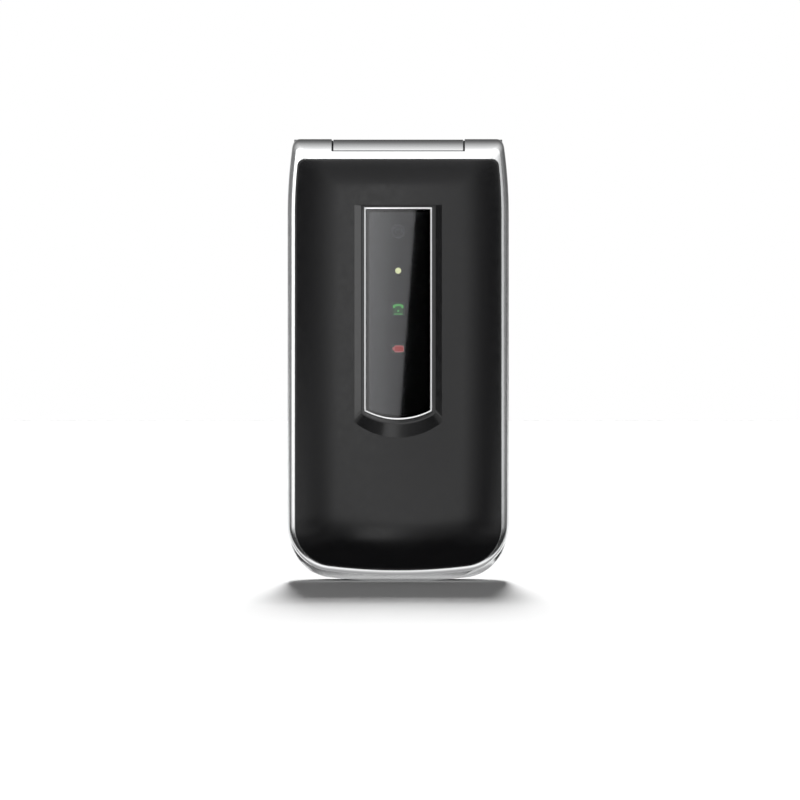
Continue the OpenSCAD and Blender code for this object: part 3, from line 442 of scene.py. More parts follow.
def finish_set():
    made = {
        "frame_silver": painted_silver("satin_silver", (0.8, 0.805, 0.81), 0.18, 0.05),
        "panel_black": moulded("panel_satin_black", (0.004, 0.004, 0.0045), 0.13, 0.06, 0.0005),
        "bezel_black": moulded("surround_gloss_black", (0.004, 0.004, 0.0045), 0.09, 0.5, 0.0004, 0.3),
        "base_black": moulded("base_soft_black", (0.009, 0.009, 0.0095), 0.4, 0.14, 0.012,
                              Specular_IOR_Level=0.4),
        "inner_black": moulded("inner_black", (0.014, 0.014, 0.015), 0.35, 0.16, 0.01),
        "part_dark": moulded("dark_module", (0.03, 0.03, 0.032), 0.45, 0.2, 0.01),
        "rubber_black": moulded("rubber", (0.012, 0.012, 0.012), 0.7, 0.2, 0.015),
        "mat_grey": moulded("key_mat_rubber", (0.45, 0.46, 0.48), 0.55, 0.3, 0.01),
        "battery_wrap": moulded("battery_wrap", (0.03, 0.034, 0.045), 0.4, 0.3, 0.008),
        "key_light": moulded("key_pearl", (0.66, 0.67, 0.68), 0.28, 0.3, 0.003, 0.4, 0.03),
        "key_silver": painted_silver("key_silver", (0.62, 0.63, 0.65), 0.3, 0.05),
        "key_green": moulded("key_green", (0.03, 0.3, 0.08), 0.28, 0.3, 0.003, 0.4, 0.05),
        "key_red": moulded("key_red", (0.4, 0.014, 0.012), 0.28, 0.3, 0.003, 0.4, 0.05),
        "key_print": moulded("printed_black", (0.012, 0.012, 0.013), 0.4, 0.2, 0.002),
        "mark_white": moulded("printed_white", (0.78, 0.78, 0.78), 0.4, 0.2, 0.002, 0.0, 0.03),
        "board_green": moulded("circuit_board", (0.01, 0.09, 0.035), 0.4, 0.8, 0.02),
        "display_dark": moulded("display_cell", (0.008, 0.009, 0.014), 0.2, 0.5, 0.001),
        # Black print under the lens; the same black paints the earpiece's holes as painted shade
        "film_and_hole_shade_black": moulded("printed_film", (0.002, 0.002, 0.002), 0.6, 0.2, 0.001, Specular_IOR_Level=0.1),
        "camera_black": moulded("camera_housing", (0.01, 0.01, 0.011), 0.4, 0.1, 0.006),
    }
    metals = {
        "trim_chrome": ((0.86, 0.86, 0.87), 0.07),
        "steel": ((0.56, 0.56, 0.57), 0.25),
        "screw_steel": ((0.2, 0.2, 0.21), 0.32),
        "bronze": ((0.62, 0.42, 0.2), 0.3),
        "shield_tin": ((0.66, 0.67, 0.68), 0.34),
        "contact_gold": ((0.86, 0.62, 0.22), 0.22),
        "mesh_steel": ((0.25, 0.25, 0.26), 0.4),
        "camera_ring": ((0.11, 0.11, 0.112), 0.3),
    }
    for name, (colour, roughness) in metals.items():
        f = Finish(name + "_metal", colour, roughness, Metallic=1.0)
        f.set("Roughness", roughness + 0.1 * (f.noise(1.2, 4, (1, 1, 6)) - 0.5))
        f.bump(f.noise(0.25, 3), 0.3, 0.002)
        made[name] = f
    glass = Finish("smoked_glass", (0.45, 0.46, 0.5), 0.015, Transmission_Weight=1.0, IOR=1.52)
    glass.set("Roughness", 0.01 + 0.012 * glass.noise(4, 3))
    made["smoked_lens"] = glass
    eye = Finish("camera_glass", (0.7, 0.74, 0.9), 0.01, Transmission_Weight=1.0, IOR=1.6)
    eye.set("Roughness", 0.004 + 0.01 * eye.noise(0.5, 2))
    made["camera_glass"] = eye
    cover = Finish("display_glass", (0.012, 0.013, 0.016), 0.05, Specular_IOR_Level=0.6)
    cover.set("Roughness", 0.03 + 0.05 * cover.noise(6, 3))
    inside = within(cover.axis("X"), 0, 16.4) * within(cover.axis("Z"), DISPLAY_Y, 22.4)
    cover.set("Base Color", cover.mix(inside, (0.0025, 0.0025, 0.003), (0.016, 0.019, 0.026)))
    made["display_glass"] = cover
    lamps = {
        "lamp_pale": ((0.8, 0.86, 0.42), 1.5),
        "lamp_green": ((0.16, 0.78, 0.16), 0.5),
        "lamp_red": ((0.7, 0.05, 0.04), 0.5),
        "sign_green_dim": ((0.03, 0.16, 0.04), 0.4),
        "sign_red_pale": ((0.8, 0.24, 0.22), 0.5),
    }
    for name, (colour, strength) in lamps.items():
        f = Finish(name, colour, 0.4, Emission_Strength=strength)
        core = f.noise(0.5, 2)
        f.set("Emission Color", f.mix(core, [c * 0.8 for c in colour], [min(1, c * 1.25) for c in colour]))
        made[name] = f
    return {name: f.material for name, f in made.items()}


finishes = finish_set()


# ---- Shells of the lid ----


def fall_r(run, drop):
    return (run * run + drop * drop) / (2 * drop)


def fall_run(d, r):
    return math.sqrt(max(0, 2 * r * d - d * d))


def nose_edge(z):
    """Where the nose's section ends at height z: upright, round, then leaning flat towards the panel."""
    lean = math.radians(NOSE_LEAN)
    top = NOSE_Z + NOSE_R * math.cos(lean)
    if z > top:
        return NOSE_Y + NOSE_R * math.sin(lean) - (z - top) / math.tan(lean)
    return NOSE_Y + math.sqrt(max(0, NOSE_R ** 2 - (z - NOSE_Z) ** 2)) if z > NOSE_Z else PHONE_H


def crown_ring(d):
    back = fall_run(d, fall_r(CROWN_TOP, CROWN_TOP_DROP))
    high = PANEL_TOP - CROWN_TOP + back if d < CROWN_TOP_DROP else nose_edge(LID_FRONT - d)
    side = RIM_W + (CROWN_DROP - d) / math.tan(math.radians(SIDE_LEAN))
    low = LIP + RIM_LOW + CROWN_LOW - fall_run(d, fall_r(CROWN_LOW, CROWN_DROP))
    return at(outline(side, low, high, TOP_R * (1 + d / CROWN_DROP) / 2), LID_FRONT - d)


def rim_ring(a):
    """The rim's section: round from the side, then a lip that leans out by the angle it stopped at."""
    turn, a = math.radians(RIM_TURN), math.radians(a)
    share = (1 - RIM_FLAT) * (1 - math.sin(a)) / (1 - math.sin(turn))
    z = RIM_Z - RIM_ROUND + (RIM_ROUND - RIM_LIP) * math.cos(a) / math.cos(turn)
    if a < turn:
        share, z = 1 - RIM_FLAT * a / turn, RIM_Z - RIM_LIP * a / turn
    return at(outline(RIM_W * share, LIP + RIM_LOW * share, nose_edge(z), TOP_R), z)


def lid_envelope(name):
    """The lid's whole outer form, with its round rim, crowned front and nose."""
    rings = []
    for i in range(7):
        a = math.radians(15 * i)
        inset = 0.5 * (1 - math.sin(a))
        rings.append(at(outline(inset, LIP + inset, PHONE_H, TOP_R), LID_BACK + 0.5 * (1 - math.cos(a))))
    top = math.degrees(math.asin((RIM_Z - RIM_ROUND - NOSE_Z) / NOSE_R))
    for i in range(7):
        z = NOSE_Z + NOSE_R * math.sin(math.radians(top * i / 7))
        rings.append(at(outline(0, LIP, nose_edge(z), TOP_R), z))
    rings += [rim_ring(90 - (90 - RIM_TURN) * i / 12) for i in range(13)]
    rings += [rim_ring(RIM_TURN * (1 - i / 4)) for i in range(1, 5)]
    rings += [crown_ring(CROWN_DROP * (1 - i / 14) ** 1.5) for i in range(1, 14)]
    return loft(name, rings, finishes["frame_silver"])


def panel_outline(gap):
    return outline(RIM_W + gap, LIP + RIM_LOW + gap, PANEL_TOP - gap, TOP_R)


def crown_z(x, y):
    """Height of the crowned front at a point."""
    lean = max(0, min(y, PHONE_H) - (PHONE_H - FLARE_L))
    half = PHONE_W / 2 - FLARE_R + math.sqrt(FLARE_R ** 2 - lean ** 2) - RIM_W
    side = max(0, abs(x) - half + CROWN_SIDE) / CROWN_SIDE
    low = LIP + RIM_LOW + CROWN_LOW + min(abs(x), 15) ** 2 / (2 * BOW_R)
    q = (side ** 2.3 + (max(0, low - y) / CROWN_LOW) ** 2.3) ** (1 / 2.3)
    r, rt = fall_r(CROWN_SIDE, CROWN_DROP), fall_r(CROWN_TOP, CROWN_TOP_DROP)
    fall = r - math.sqrt(r * r - (q * CROWN_SIDE) ** 2)
    top = rt - math.sqrt(rt * rt - max(0, y - PANEL_TOP + CROWN_TOP) ** 2)
    return LID_FRONT - (fall ** 3 + top ** 3) ** (1 / 3)


def refine(points, longest, follow):
    """A closed outline and one that follows it, with the long sides of both divided alike."""
    made = [], []
    for a, b, c, d in zip(points, points[1:] + points[:1], follow, follow[1:] + follow[:1]):
        parts = max(1, math.ceil(math.dist(a, b) / longest))
        made[0].extend(between(a, b, i / parts) for i in range(parts))
        made[1].extend(between(c, d, i / parts) for i in range(parts))
    return made


def meet(points, centre, p):
    """Where the ray from centre through p leaves the closed outline."""
    dx, dy = p[0] - centre[0], p[1] - centre[1]
    best = None
    for (ax, ay), (bx, by) in zip(points, points[1:] + points[:1]):
        ex, ey = bx - ax, by - ay
        det = dx * ey - dy * ex
        if abs(det) < 1e-12:
            continue
        t = ((ax - centre[0]) * ey - (ay - centre[1]) * ex) / det
        u = ((ax - centre[0]) * dy - (ay - centre[1]) * dx) / det
        if t > 0 and -1e-9 <= u <= 1 + 1e-9 and (best is None or t > best):
            best = t
    return (centre[0] + dx * best, centre[1] + dy * best)


def wedge(x0, x1, a, b):
    """A cutter whose sloping face runs from a to b, each (y, z), along the width."""
    corners = [a, b, (b[0] + 2, b[1]), (b[0] + 2, a[1])]
    return loft("wedge", [[(x, y, z) for y, z in corners] for x in (x0, x1)])


def lid_shell():
    """The silver frame: side walls, round rim, nose and two knuckles."""
    notch = BARREL_W / 2 + 0.3
    shell = lid_envelope("lid_shell")
    knuckles = [bar(x0, x1, AXIS_Y, AXIS_Z, BARREL_R) for x0, x1 in ((-KNUCKLE, -notch), (notch, KNUCKLE))]
    carve(shell, knuckles, "UNION")
    carve(shell, [
        plate(panel_outline(0.06), LID_FLOOR, 20),
        plate(outline(LID_WALL, LIP + LID_WALL, HINGE_WALL, 1), -20, LID_CAVITY),
        plate(window_shape(TRIM), 0, 20),
        bar(-notch, notch, AXIS_Y, AXIS_Z, BARREL_R + HINGE_GAP),
        block(-notch, notch, PHONE_H - BARREL_SHOW - 0.15, 120, -20, 20),
        wedge(-notch, notch, *CHAMFER),
        bar(BARREL_W / 2, KNUCKLE - 1.5, AXIS_Y, AXIS_Z, 1.5),
        bar(1.5 - KNUCKLE, -BARREL_W / 2, AXIS_Y, AXIS_Z, 1.5),
    ])
    return finish_piece(shell, "lid", "frame_silver", "lid_frame")


def front_panel():
    """The crowned black front, with a rounded edge beside its groove and a hole for the window."""
    edge, flange = refine(panel_outline(SEAM + 0.2), 1.2, panel_outline(0.1))
    centre, round_r = (0, 61), 0.06
    hole = window_shape(PANEL_HOLE)
    inner = [meet(hole, centre, p) for p in edge]
    rings = [at(flange, LID_FLOOR), at(flange, LID_FLOOR + 0.7), at(edge, LID_FLOOR + 0.7)]
    for e in PANEL_STEPS:
        ring = []
        for p, q in zip(edge, inner):
            run = math.dist(p, q)
            x, y = between(p, q, e / max(run, PANEL_STEPS[-1] / 0.95))
            drop = round_r - math.sqrt(round_r ** 2 - max(0, round_r - e) ** 2)
            ring.append((x, y, crown_z(x, y) - drop))
        rings.append(ring)
    rings += [[(x, y, crown_z(x, y)) for x, y in inner], at(inner, LID_FLOOR)]
    panel = loft("front_panel", rings, finishes["panel_black"], closed=True)
    return finish_piece(panel, "lid", "panel_black", "lid_panel")


def window_surround():
    """The raised surround: four mitred slopes, a soft inner edge and a flat margin round the trim."""
    foot, ledge = set_in(PANEL_HOLE, 0.05), set_in(LENS, 0.6)
    rise = WINDOW_Z - LID_FRONT
    path = [(0, 0), (0.004, 0.06), (0.9, 0.9), (0.94, 0.938), (0.97, 0.965), (1.0, 0.985), (1.05, 0.997),
            (1.12, 1)]
    rings = [at(window_shape(foot), LID_FLOOR), at(window_shape(foot), LID_FRONT - 0.05)]
    rings.append(at(window_shape(WINDOW), LID_FRONT - 0.05))
    for share, height in path:
        sizes = between(WINDOW, SLOPE_END, share)
        rings.append(at(window_shape(sizes), LID_FRONT + rise * height))
    rings.append(at(window_shape(TRIM), WINDOW_Z))
    rings.append(at(window_shape(TRIM), LENS_Z - LENS_T))
    rings.append(at(window_shape(ledge), LENS_Z - LENS_T))
    rings.append(at(window_shape(ledge), LID_FLOOR))
    surround = loft("window_surround", rings, finishes["bezel_black"], closed=True, crease=20)
    return finish_piece(surround, "lid", "bezel_black", "window_bezel")


def window_ring():
    """The silver trim: a narrow band with round edges."""
    r = 0.22
    low = LENS_Z - LENS_T + 0.02
    outer, inner = 0.02, 0.58
    turns = [math.radians(a) for a in range(0, 91, 15)]
    path = [(outer, low)]
    path += [(outer + r * (1 - math.cos(a)), WINDOW_Z - r * (1 - math.sin(a))) for a in turns]
    path += [(inner - r * (1 - math.sin(a)), WINDOW_Z - r * (1 - math.cos(a))) for a in turns]
    path.append((inner, low))
    rings = [at(window_shape(set_in(TRIM, inset, 0.6)), z) for inset, z in path]
    ring = loft("window_ring", rings, finishes["trim_chrome"], closed=True, crease=30)
    return finish_piece(ring, "lid", "trim_chrome", "window_trim")


def window_pane():
    """The smoked lens, with eased edges."""
    back = LENS_Z - LENS_T
    path = [(0.03, back), (0.01, back + 0.03), (0.01, LENS_Z - 0.06), (0.03, LENS_Z - 0.02), (0.08, LENS_Z)]
    rings = [at(window_shape(set_in(LENS, inset)), z) for inset, z in path]
    pane = loft("window_pane", rings, finishes["smoked_lens"], crease=12)
    return finish_piece(pane, "lid", "smoked_lens", "window_lens")


def sheet_of(name, points, holes, z0, z1, material):
    """A flat plate with holes, each hole an outline."""
    made = plate(points, z0, z1, name, finishes[material])
    return carve(made, [plate(h, z0 - 1, z1 + 1) for h in holes])


def join(name, parts):
    """One piece made of several, each with its own finish."""
    mesh = bpy.data.meshes.new(name)
    bm = bmesh.new()
    for index, part in enumerate(parts):
        mesh.materials.append(part.data.materials[0])
        start = len(bm.faces)
        bm.from_mesh(part.data)
        bm.faces.ensure_lookup_table()
        for face in bm.faces[start:]:
            face.material_index = index
        discard(part)
    bm.to_mesh(mesh)
    bm.free()
    mesh.set_sharp_from_angle(angle=math.radians(35))
    return placed(name, mesh)


def window_mask():
    """The black film under the lens, open at the camera and the lamps."""
    edge = set_in(LENS, 0.62)
    holes = [circle(1.75, 0, CAMERA_Y), circle(0.8, 0, DOT_Y), rounded(3.1, 3.3, 0.3, 0, CALL_Y),
             rounded(3.1, 2.2, 0.3, 0, CELL_Y)]
    film = sheet_of("window_film", window_shape(edge), holes, UNDER_LENS - 0.3, UNDER_LENS - 0.02,
                    "film_and_hole_shade_black")
    finish_piece(film, "lid", "inner_black")


def shifted(points, y):
    return [(px, py + y) for px, py in points]


def call_sign():
    """A lit telephone sign: a bowed handset over a darker body with a bright foot and dial."""
    z0, z1 = UNDER_LENS - 0.6, UNDER_LENS
    handset = arc(0, -1.0, 2.25, 56, 124, 14) + arc(0, -1.0, 1.75, 124, 56, 14)
    ears = [rounded(0.5, 0.45, 0.12, s * 0.98, 0.45) for s in (-1, 1)]
    body = [(-1.12, -1.3), (1.12, -1.3), (1.05, -0.2), (0.62, 0.3), (-0.62, 0.3), (-1.05, -0.2)]
    foot = [(-1.0, -1.25), (1.0, -1.25), (0.96, -1.05), (-0.96, -1.05)]
    parts = [plate(shifted(body, CALL_Y - 0.02), z0, z1 - 0.12, "body", finishes["sign_green_dim"])]
    for shape in [handset, *ears, foot, circle(0.24, 0, -0.4)]:
        parts.append(plate(shifted(shape, CALL_Y - 0.02), z0, z1 - 0.04, "lit", finishes["lamp_green"]))
    parts.append(block(-0.8, 0.8, CALL_Y - 0.8, CALL_Y + 0.8, 5.5, z0 + 0.05, "sign_green_dim"))
    finish_piece(join("call_sign", parts), "lid", "lamp_green", "call_lamp")


def cell_sign():
    """A lit battery sign: a red cell with a pale outline and its nub."""
    z0, z1 = UNDER_LENS - 0.6, UNDER_LENS
    parts = [plate(rounded(2.3, 1.5, 0.35, 0.18, CELL_Y), z0, z1 - 0.1, "rim", finishes["sign_red_pale"]),
             plate(rounded(1.9, 1.1, 0.22, 0.18, CELL_Y), z0 + 0.1, z1 - 0.04, "fill", finishes["lamp_red"]),
             plate(rounded(0.42, 0.75, 0.14, -1.12, CELL_Y), z0, z1 - 0.1, "nub", finishes["sign_red_pale"]),
             block(-0.8, 0.8, CELL_Y - 0.8, CELL_Y + 0.8, 5.5, z0 + 0.05, "sign_red_pale")]
    finish_piece(join("cell_sign", parts), "lid", "lamp_red", "battery_lamp")


def dot_sign():
    """A small round lamp with a domed face."""
    z = UNDER_LENS
    dome = [(0, z - 0.6), (0.7, z - 0.6), (0.7, z - 0.2), (0.6, z - 0.1), (0.35, z - 0.03), (0, z)]
    parts = [spun("dome", dome, 0, DOT_Y, finishes["lamp_pale"], 40),
             block(-0.7, 0.7, DOT_Y - 0.7, DOT_Y + 0.7, 5.5, z - 0.65, "film_and_hole_shade_black")]
    finish_piece(join("dot_sign", parts), "lid", "lamp_pale", "dot_lamp")


def camera_eye():
    """Housing, barrel with two stepped rings and a domed glass."""
    z = UNDER_LENS
    y = CAMERA_Y
    ring = [(0.95, z - 0.75), (0.95, z - 0.32), (1.05, z - 0.22), (1.2, z - 0.22), (1.25, z - 0.34),
            (1.42, z - 0.34), (1.47, z - 0.2), (1.62, z - 0.2), (1.66, z - 0.28), (1.66, z - 0.75)]
    parts = [plate(rounded(6.5, 6.5, 0.6, 0, y), 5.5, 7.05, "housing", finishes["camera_black"]),
             plate(circle(2.1, 0, y, 64), 7.05, z - 0.6, "barrel", finishes["camera_black"]),
             spun("rings", ring, 0, y, finishes["camera_ring"], 64, crease=25)]
    finish_piece(join("camera_barrel", parts), "lid", "camera_black", "camera_module")
    dome = [(0, z - 0.6), (0.93, z - 0.6), (0.93, z - 0.38), (0.8, z - 0.25), (0.5, z - 0.14),
            (0.25, z - 0.1), (0, z - 0.09)]
    glass = spun("camera_glass", dome, 0, y, finishes["camera_glass"], 64)
    finish_piece(glass, "lid", "camera_glass", "camera_lens")


lid_shell()
front_panel()
window_surround()
window_ring()
window_pane()
window_mask()
call_sign()
cell_sign()
dot_sign()
camera_eye()


# ---- Shells of the base ----


def back_inset(z, r):
    return 0 if z > BACK_Z + r else r - math.sqrt(max(0, r * r - (r - z + BACK_Z) ** 2))


# How far the bowed foot would reach below its flat
FOOT_DROP = FOOT_HALF ** 2 / (2 * BOW_R)


def base_ring(z, s=0.0):
    side, low = back_inset(z, BACK_R), back_inset(z, BACK_LOW_R) - FOOT_DROP
    return at(outline(BASE_INSET + s + side, low, BASE_TOP - s - side, 2), z)


def base_envelope(name, z0, z1, material):
    """The base's outer form between two heights, cut flat at its foot."""
    heights = [BACK_Z + BACK_R * (1 - math.cos(math.radians(6 * i))) for i in range(16)]
    heights += [BACK_Z + BACK_R + (FACE_Z - 0.5 - BACK_Z - BACK_R) * i / 4 for i in range(1, 5)]
    ring_at = [(z, 0) for z in heights]
    ring_at += [(FACE_Z - 0.5 * (1 - math.sin(math.radians(a))), 0.5 * (1 - math.cos(math.radians(a))))
                for a in range(15, 91, 15)]
    kept = [(z, s) for z, s in ring_at if z0 < z < z1]
    kept.append((max(z0, BACK_Z), 0))
    kept.append((z1, 0) if z1 < FACE_Z - 0.5 else (FACE_Z, 0.5))
    form = loft(name, [base_ring(z, s) for z, s in sorted(set(kept))], finishes[material])
    return carve(form, [block(-60, 60, -20, 0, -30, 30)])


def hinge_sweep():
    """What the lid's knuckles and nose sweep as it opens."""
    cut = []
    for x0, x1 in ((BARREL_W / 2, 30), (-30, -BARREL_W / 2)):
        cut.append(bar(x0, x1, AXIS_Y, AXIS_Z, BARREL_R + HINGE_GAP + 0.05))
        cut.append(bar(x0, x1, OPEN_Y, OPEN_Z, NOSE_R + HINGE_GAP))
    half = BARREL_W / 2 + 1
    cut.append(block(-half, half, BASE_TOP - 0.5, PHONE_H + 1, OPEN_Z - NOSE_R - 0.4, 20))
    return cut


NUMBER_KEYS = [("key_1", -1, 0), ("key_2", 0, 0), ("key_3", 1, 0), ("key_4", -1, 1), ("key_5", 0, 1),
               ("key_6", 1, 1), ("key_7", -1, 2), ("key_8", 0, 2), ("key_9", 1, 2), ("key_star", -1, 3),
               ("key_0", 0, 3), ("key_hash", 1, 3)]
SIDE_KEYS = [("soft_key_left", -1, 8, 7, "key_silver"), ("soft_key_right", 1, 8, 7, "key_silver"),
             ("call_key", -1, -5, 9, "key_green"), ("end_key", 1, -5, 9, "key_red")]


def key_shape(column, row, grow):
    return rounded(KEY_W + 2 * grow, KEY_H + 2 * grow, 2.2 + grow, column * PITCH_X, ROW_Y - row * PITCH_Y)


def side_key_shape(side, up, height, grow):
    return rounded(11 + 2 * grow, height + 2 * grow, 2.2 + grow, side * 17, NAV_Y + up)


def keypad_cutters(low, high):
    cut = [plate(key_shape(c, r, KEY_GAP), low, high) for _, c, r in NUMBER_KEYS]
    cut += [plate(side_key_shape(s, up, h, KEY_GAP), low, high) for _, s, up, h, _ in SIDE_KEYS]
    cut.append(stud(0, NAV_Y, NAV_R + KEY_GAP, low, high, 96))
    return cut


def well_outline(gap):
    return outline(BASE_INSET + 2.4 + gap, 3 + gap, HINGE_WALL - 1.5 - gap, 3)


def base_front():
    """The silver front cover with its keypad well and the hinge barrel."""
    shell = base_envelope("base_front_shell", SEAM_Z, FACE_Z, "frame_silver")
    carve(shell, hinge_sweep() + [
        plate(outline(BASE_INSET + BASE_WALL, BASE_WALL, AXIS_Y - BARREL_R - 1.6, 2), -20, PLATE_Z)])
    turns = [2 * math.pi * i / 96 for i in range(96)]
    ends = ((-15.35, 0.2), (-15.3, 0.08), (-15.2, 0), (15.2, 0), (15.3, 0.08), (15.35, 0.2))
    barrel = loft("barrel", [
        [(x, AXIS_Y + (BARREL_R - e) * math.cos(t), AXIS_Z + (BARREL_R - e) * math.sin(t)) for t in turns]
        for x, e in ends])
    studs = [stud(x, y, 1.7, SEAM_Z, PLATE_Z + 0.2) for x, y in BASE_SCREWS]
    carve(shell, [barrel] + studs, "UNION")
    carve(shell, [plate(well_outline(0), WELL_Z, 20), bar(-20, 20, AXIS_Y, AXIS_Z, 2.55)]
          + keypad_cutters(-20, 20) + [stud(x, y, 0.75, SEAM_Z - 1, SEAM_Z + 2.2) for x, y in BASE_SCREWS]
          + [stud(0, 8, 0.5, -20, 20)])
    return finish_piece(shell, "base", "frame_silver", "base_front_cover")


def keypad_inlay():
    """The thin black sheet in the keypad well."""
    inlay = plate(well_outline(0.08), WELL_Z, WELL_Z + 0.12, "keypad_inlay", finishes["inner_black"])
    carve(inlay, keypad_cutters(-5, 5) + [stud(0, 8, 0.5, -5, 5)])
    return finish_piece(inlay, "base", "inner_black")


def base_rear():
    """The black rear cover with the battery bay and the openings in its walls."""
    shell = base_envelope("base_rear_shell", BACK_Z, SEAM_Z - 0.05, "base_black")
    carve(shell, hinge_sweep() + [
        block(-60, 60, COVER_LOW, COVER_TOP, -30, COVER_RIM),
        block(-23, 23, COVER_LOW + 1.5, COVER_TOP - 1.5, -30, FLOOR_Z),
        plate(outline(BASE_INSET + BASE_WALL, 3.5, 92, 2), FLOOR_Z + 0.5, 20),
        block(3 - BASE_HALF, BASE_HALF - 3, 77.8, 92, BACK_Z + 1, 0),
    ])
    studs = [stud(x, y, 2.2, FLOOR_Z - 0.9, FLOOR_Z + 1.4) for x, y in BASE_SCREWS]
    carve(shell, [block(-20.3, 20.3, 10.7, 65.3, BATTERY_Z + 0.4, FLOOR_Z + 0.1)] + studs, "UNION")
    cut = [block(-19.3, 19.3, 11.7, 64.3, -30, FLOOR_Z), block(-9.1, 9.1, 29.9, 45.1, -30, 0),
           block(-5.1, 5.1, 64.2, 67.3, -30, 0)]
    cut += [stud(x, y, 1.4, FLOOR_Z - 1, FLOOR_Z) for x, y in BASE_SCREWS]
    cut += [stud(x, y, 0.75, FLOOR_Z - 1, 20) for x, y in BASE_SCREWS]
    cut += [stud(0, 84.0, 5.25, -30, 0, 72), block(-60, 0, 87.05, 91.75, -8.55, -3.85),
            block(0, 60, 79.4, 87.0, -7.35, -4.65), block(BASE_HALF - 3, 60, 55.75, 72.25, -6.1, -3.5),
            block(BASE_HALF - 3.2, BASE_HALF - 1.5, 54.8, 73.2, COVER_RIM, -3.15)]
    cut += [block(-14.5 + i * 2.2 - 0.5, -14.5 + i * 2.2 + 0.5, 79.6, 84.6, -30, 0) for i in range(-2, 3)]
    cut += [block(s * 4 - 1.25, s * 4 + 1.25, -1, 2.5, -6.45, -4.35) for s in (-1, 1)]
    cut.append(stud(0, COVER_LOW, 3.5, BACK_Z - 1, BACK_Z + 0.7, 48))
    carve(shell, cut)
    return finish_piece(shell, "base", "base_black", "base_rear_cover")


def rear_lid():
    """The battery cover, with the same round edges as the rear cover."""
    shell = base_envelope("battery_door", BACK_Z, COVER_RIM - 0.15, "base_black")
    carve(shell, [block(-60, 60, -20, COVER_LOW + 0.15, -30, 30),
                  block(-60, 60, COVER_TOP - 0.15, 120, -30, 30),
                  block(-22.6, 22.6, COVER_LOW + 1.6, COVER_TOP - 1.6, BACK_Z + 1, 30),
                  plate(rounded(21, 5.4, 2.6, 0, GRIP_Y), -30, BACK_Z + 0.4)])
    finish_piece(shell, "battery_cover", "base_black", "battery_cover")
    ridge = loft("ridge", [at(rounded(1.0 - 2 * e, 4.2 - 2 * e, 0.45 - e, n=5), z) for e, z in
                           ((0.2, 0), (0.08, 0.05), (0, 0.14), (0, 0.4))])
    spots = [(-7.5 + 2.5 * i, GRIP_Y, BACK_Z + 0.06) for i in range(7)]
    finish_piece(copies("grip_ridges", ridge, spots, "base_black"), "battery_cover", "base_black")


# ---- Keys and small parts ----

# How far a key's middle rises over its rim
DOME = 0.055
BOARD_Z = FLANGE_Z - 1.6
ROCKER_Y, ROCKER_Z, ROCKER_OUT = 64, (SEAM_Z + COVER_RIM) / 2, BASE_HALF + 0.25
ASSIST_Y, JACK_Y, JACK_Z = 84.0, 89.4, BACK_Z + 3.4


def shrunk(ring, centre, share, z):
    """A ring drawn in towards a centre, at height z."""
    return [(centre[0] + (p[0] - centre[0]) * share, centre[1] + (p[1] - centre[1]) * share, z) for p in ring]


def key_cap(shape, centre, material):
    """A cap on its flange, with round edges and a gently domed top; shape(grow) gives its outline."""
    flange = [(KEY_GAP + 0.33, 0), (KEY_GAP + 0.35, 0.38), (KEY_GAP + 0.33, 0.4), (0, 0.4)]
    sides = [(0, 0.55), (0.015, 0.44), (0.06, 0.34), (0.13, 0.26), (0.24, 0.2), (0.5, 0.14), (1, 0.09),
             (1.6, DOME)]
    rings = [at(shape(grow), FLANGE_Z + rise) for grow, rise in flange]
    rings += [at(shape(-inset), KEY_TOP - drop) for inset, drop in sides]
    rim = rings[-1]
    rings += [shrunk(rim, centre, share, KEY_TOP - DOME * share ** 2) for share in (0.85, 0.65, 0.4, 0.12)]
    return loft("cap", rings, finishes[material])


def number(sign, size, x, y, z0, z1, material):
    """A printed sign as a thin solid, centred on a point."""
    curve = bpy.data.curves.new("number", "FONT")
    curve.body, curve.size, curve.extrude, curve.resolution_u = sign, size, 0.5, 6
    drawn = placed("number", curve)
    mesh = plain_mesh(drawn)
    bpy.data.objects.remove(drawn)
    bpy.data.curves.remove(curve)
    spots = [v.co.copy() for v in mesh.vertices]
    mid_x = (min(p.x for p in spots) + max(p.x for p in spots)) / 2
    mid_y = (min(p.y for p in spots) + max(p.y for p in spots)) / 2
    for vertex, p in zip(mesh.vertices, spots):
        vertex.co = stand((x + p.x - mid_x, y + p.y - mid_y, z0 if p.z < 0 else z1))
    tidy(mesh)
    mesh.materials.clear()
    mesh.materials.append(finishes[material])
    return placed("number", mesh)


def turned(points, degrees, x, y, grow=1.0):
    c, s = math.cos(math.radians(degrees)) * grow, math.sin(math.radians(degrees)) * grow
    return [(x + px * c - py * s, y + px * s + py * c) for px, py in points]


def handset_shape():
    """A telephone receiver seen from the side."""
    back = arc(0, -2.2, 3.4, 38, 142, 18)
    left = [(-3.05, 0.05), (-3.15, -0.75), (-2.9, -1.05), (-1.75, -1.05), (-1.5, -0.8), (-1.5, 0.0)]
    inner = arc(0, -2.2, 2.62, 124, 56, 12)
    return back + left + inner + [(-x, y) for x, y in reversed(left)]


def number_keys():
    signs = dict(zip((k for k, _, _ in NUMBER_KEYS), "123456789*0#"))
    for name, column, row in NUMBER_KEYS:
        x, y = column * PITCH_X, ROW_Y - row * PITCH_Y
        cap = key_cap(lambda g: key_shape(column, row, g), (x, y), "key_light")
        size = 11 if signs[name] == "*" else 7
        print_part = number(signs[name], size, x, y, KEY_TOP - 0.3, KEY_TOP + 0.012, "key_print")
        finish_piece(join("cap_" + name, [cap, print_part]), name, "key_light", name)


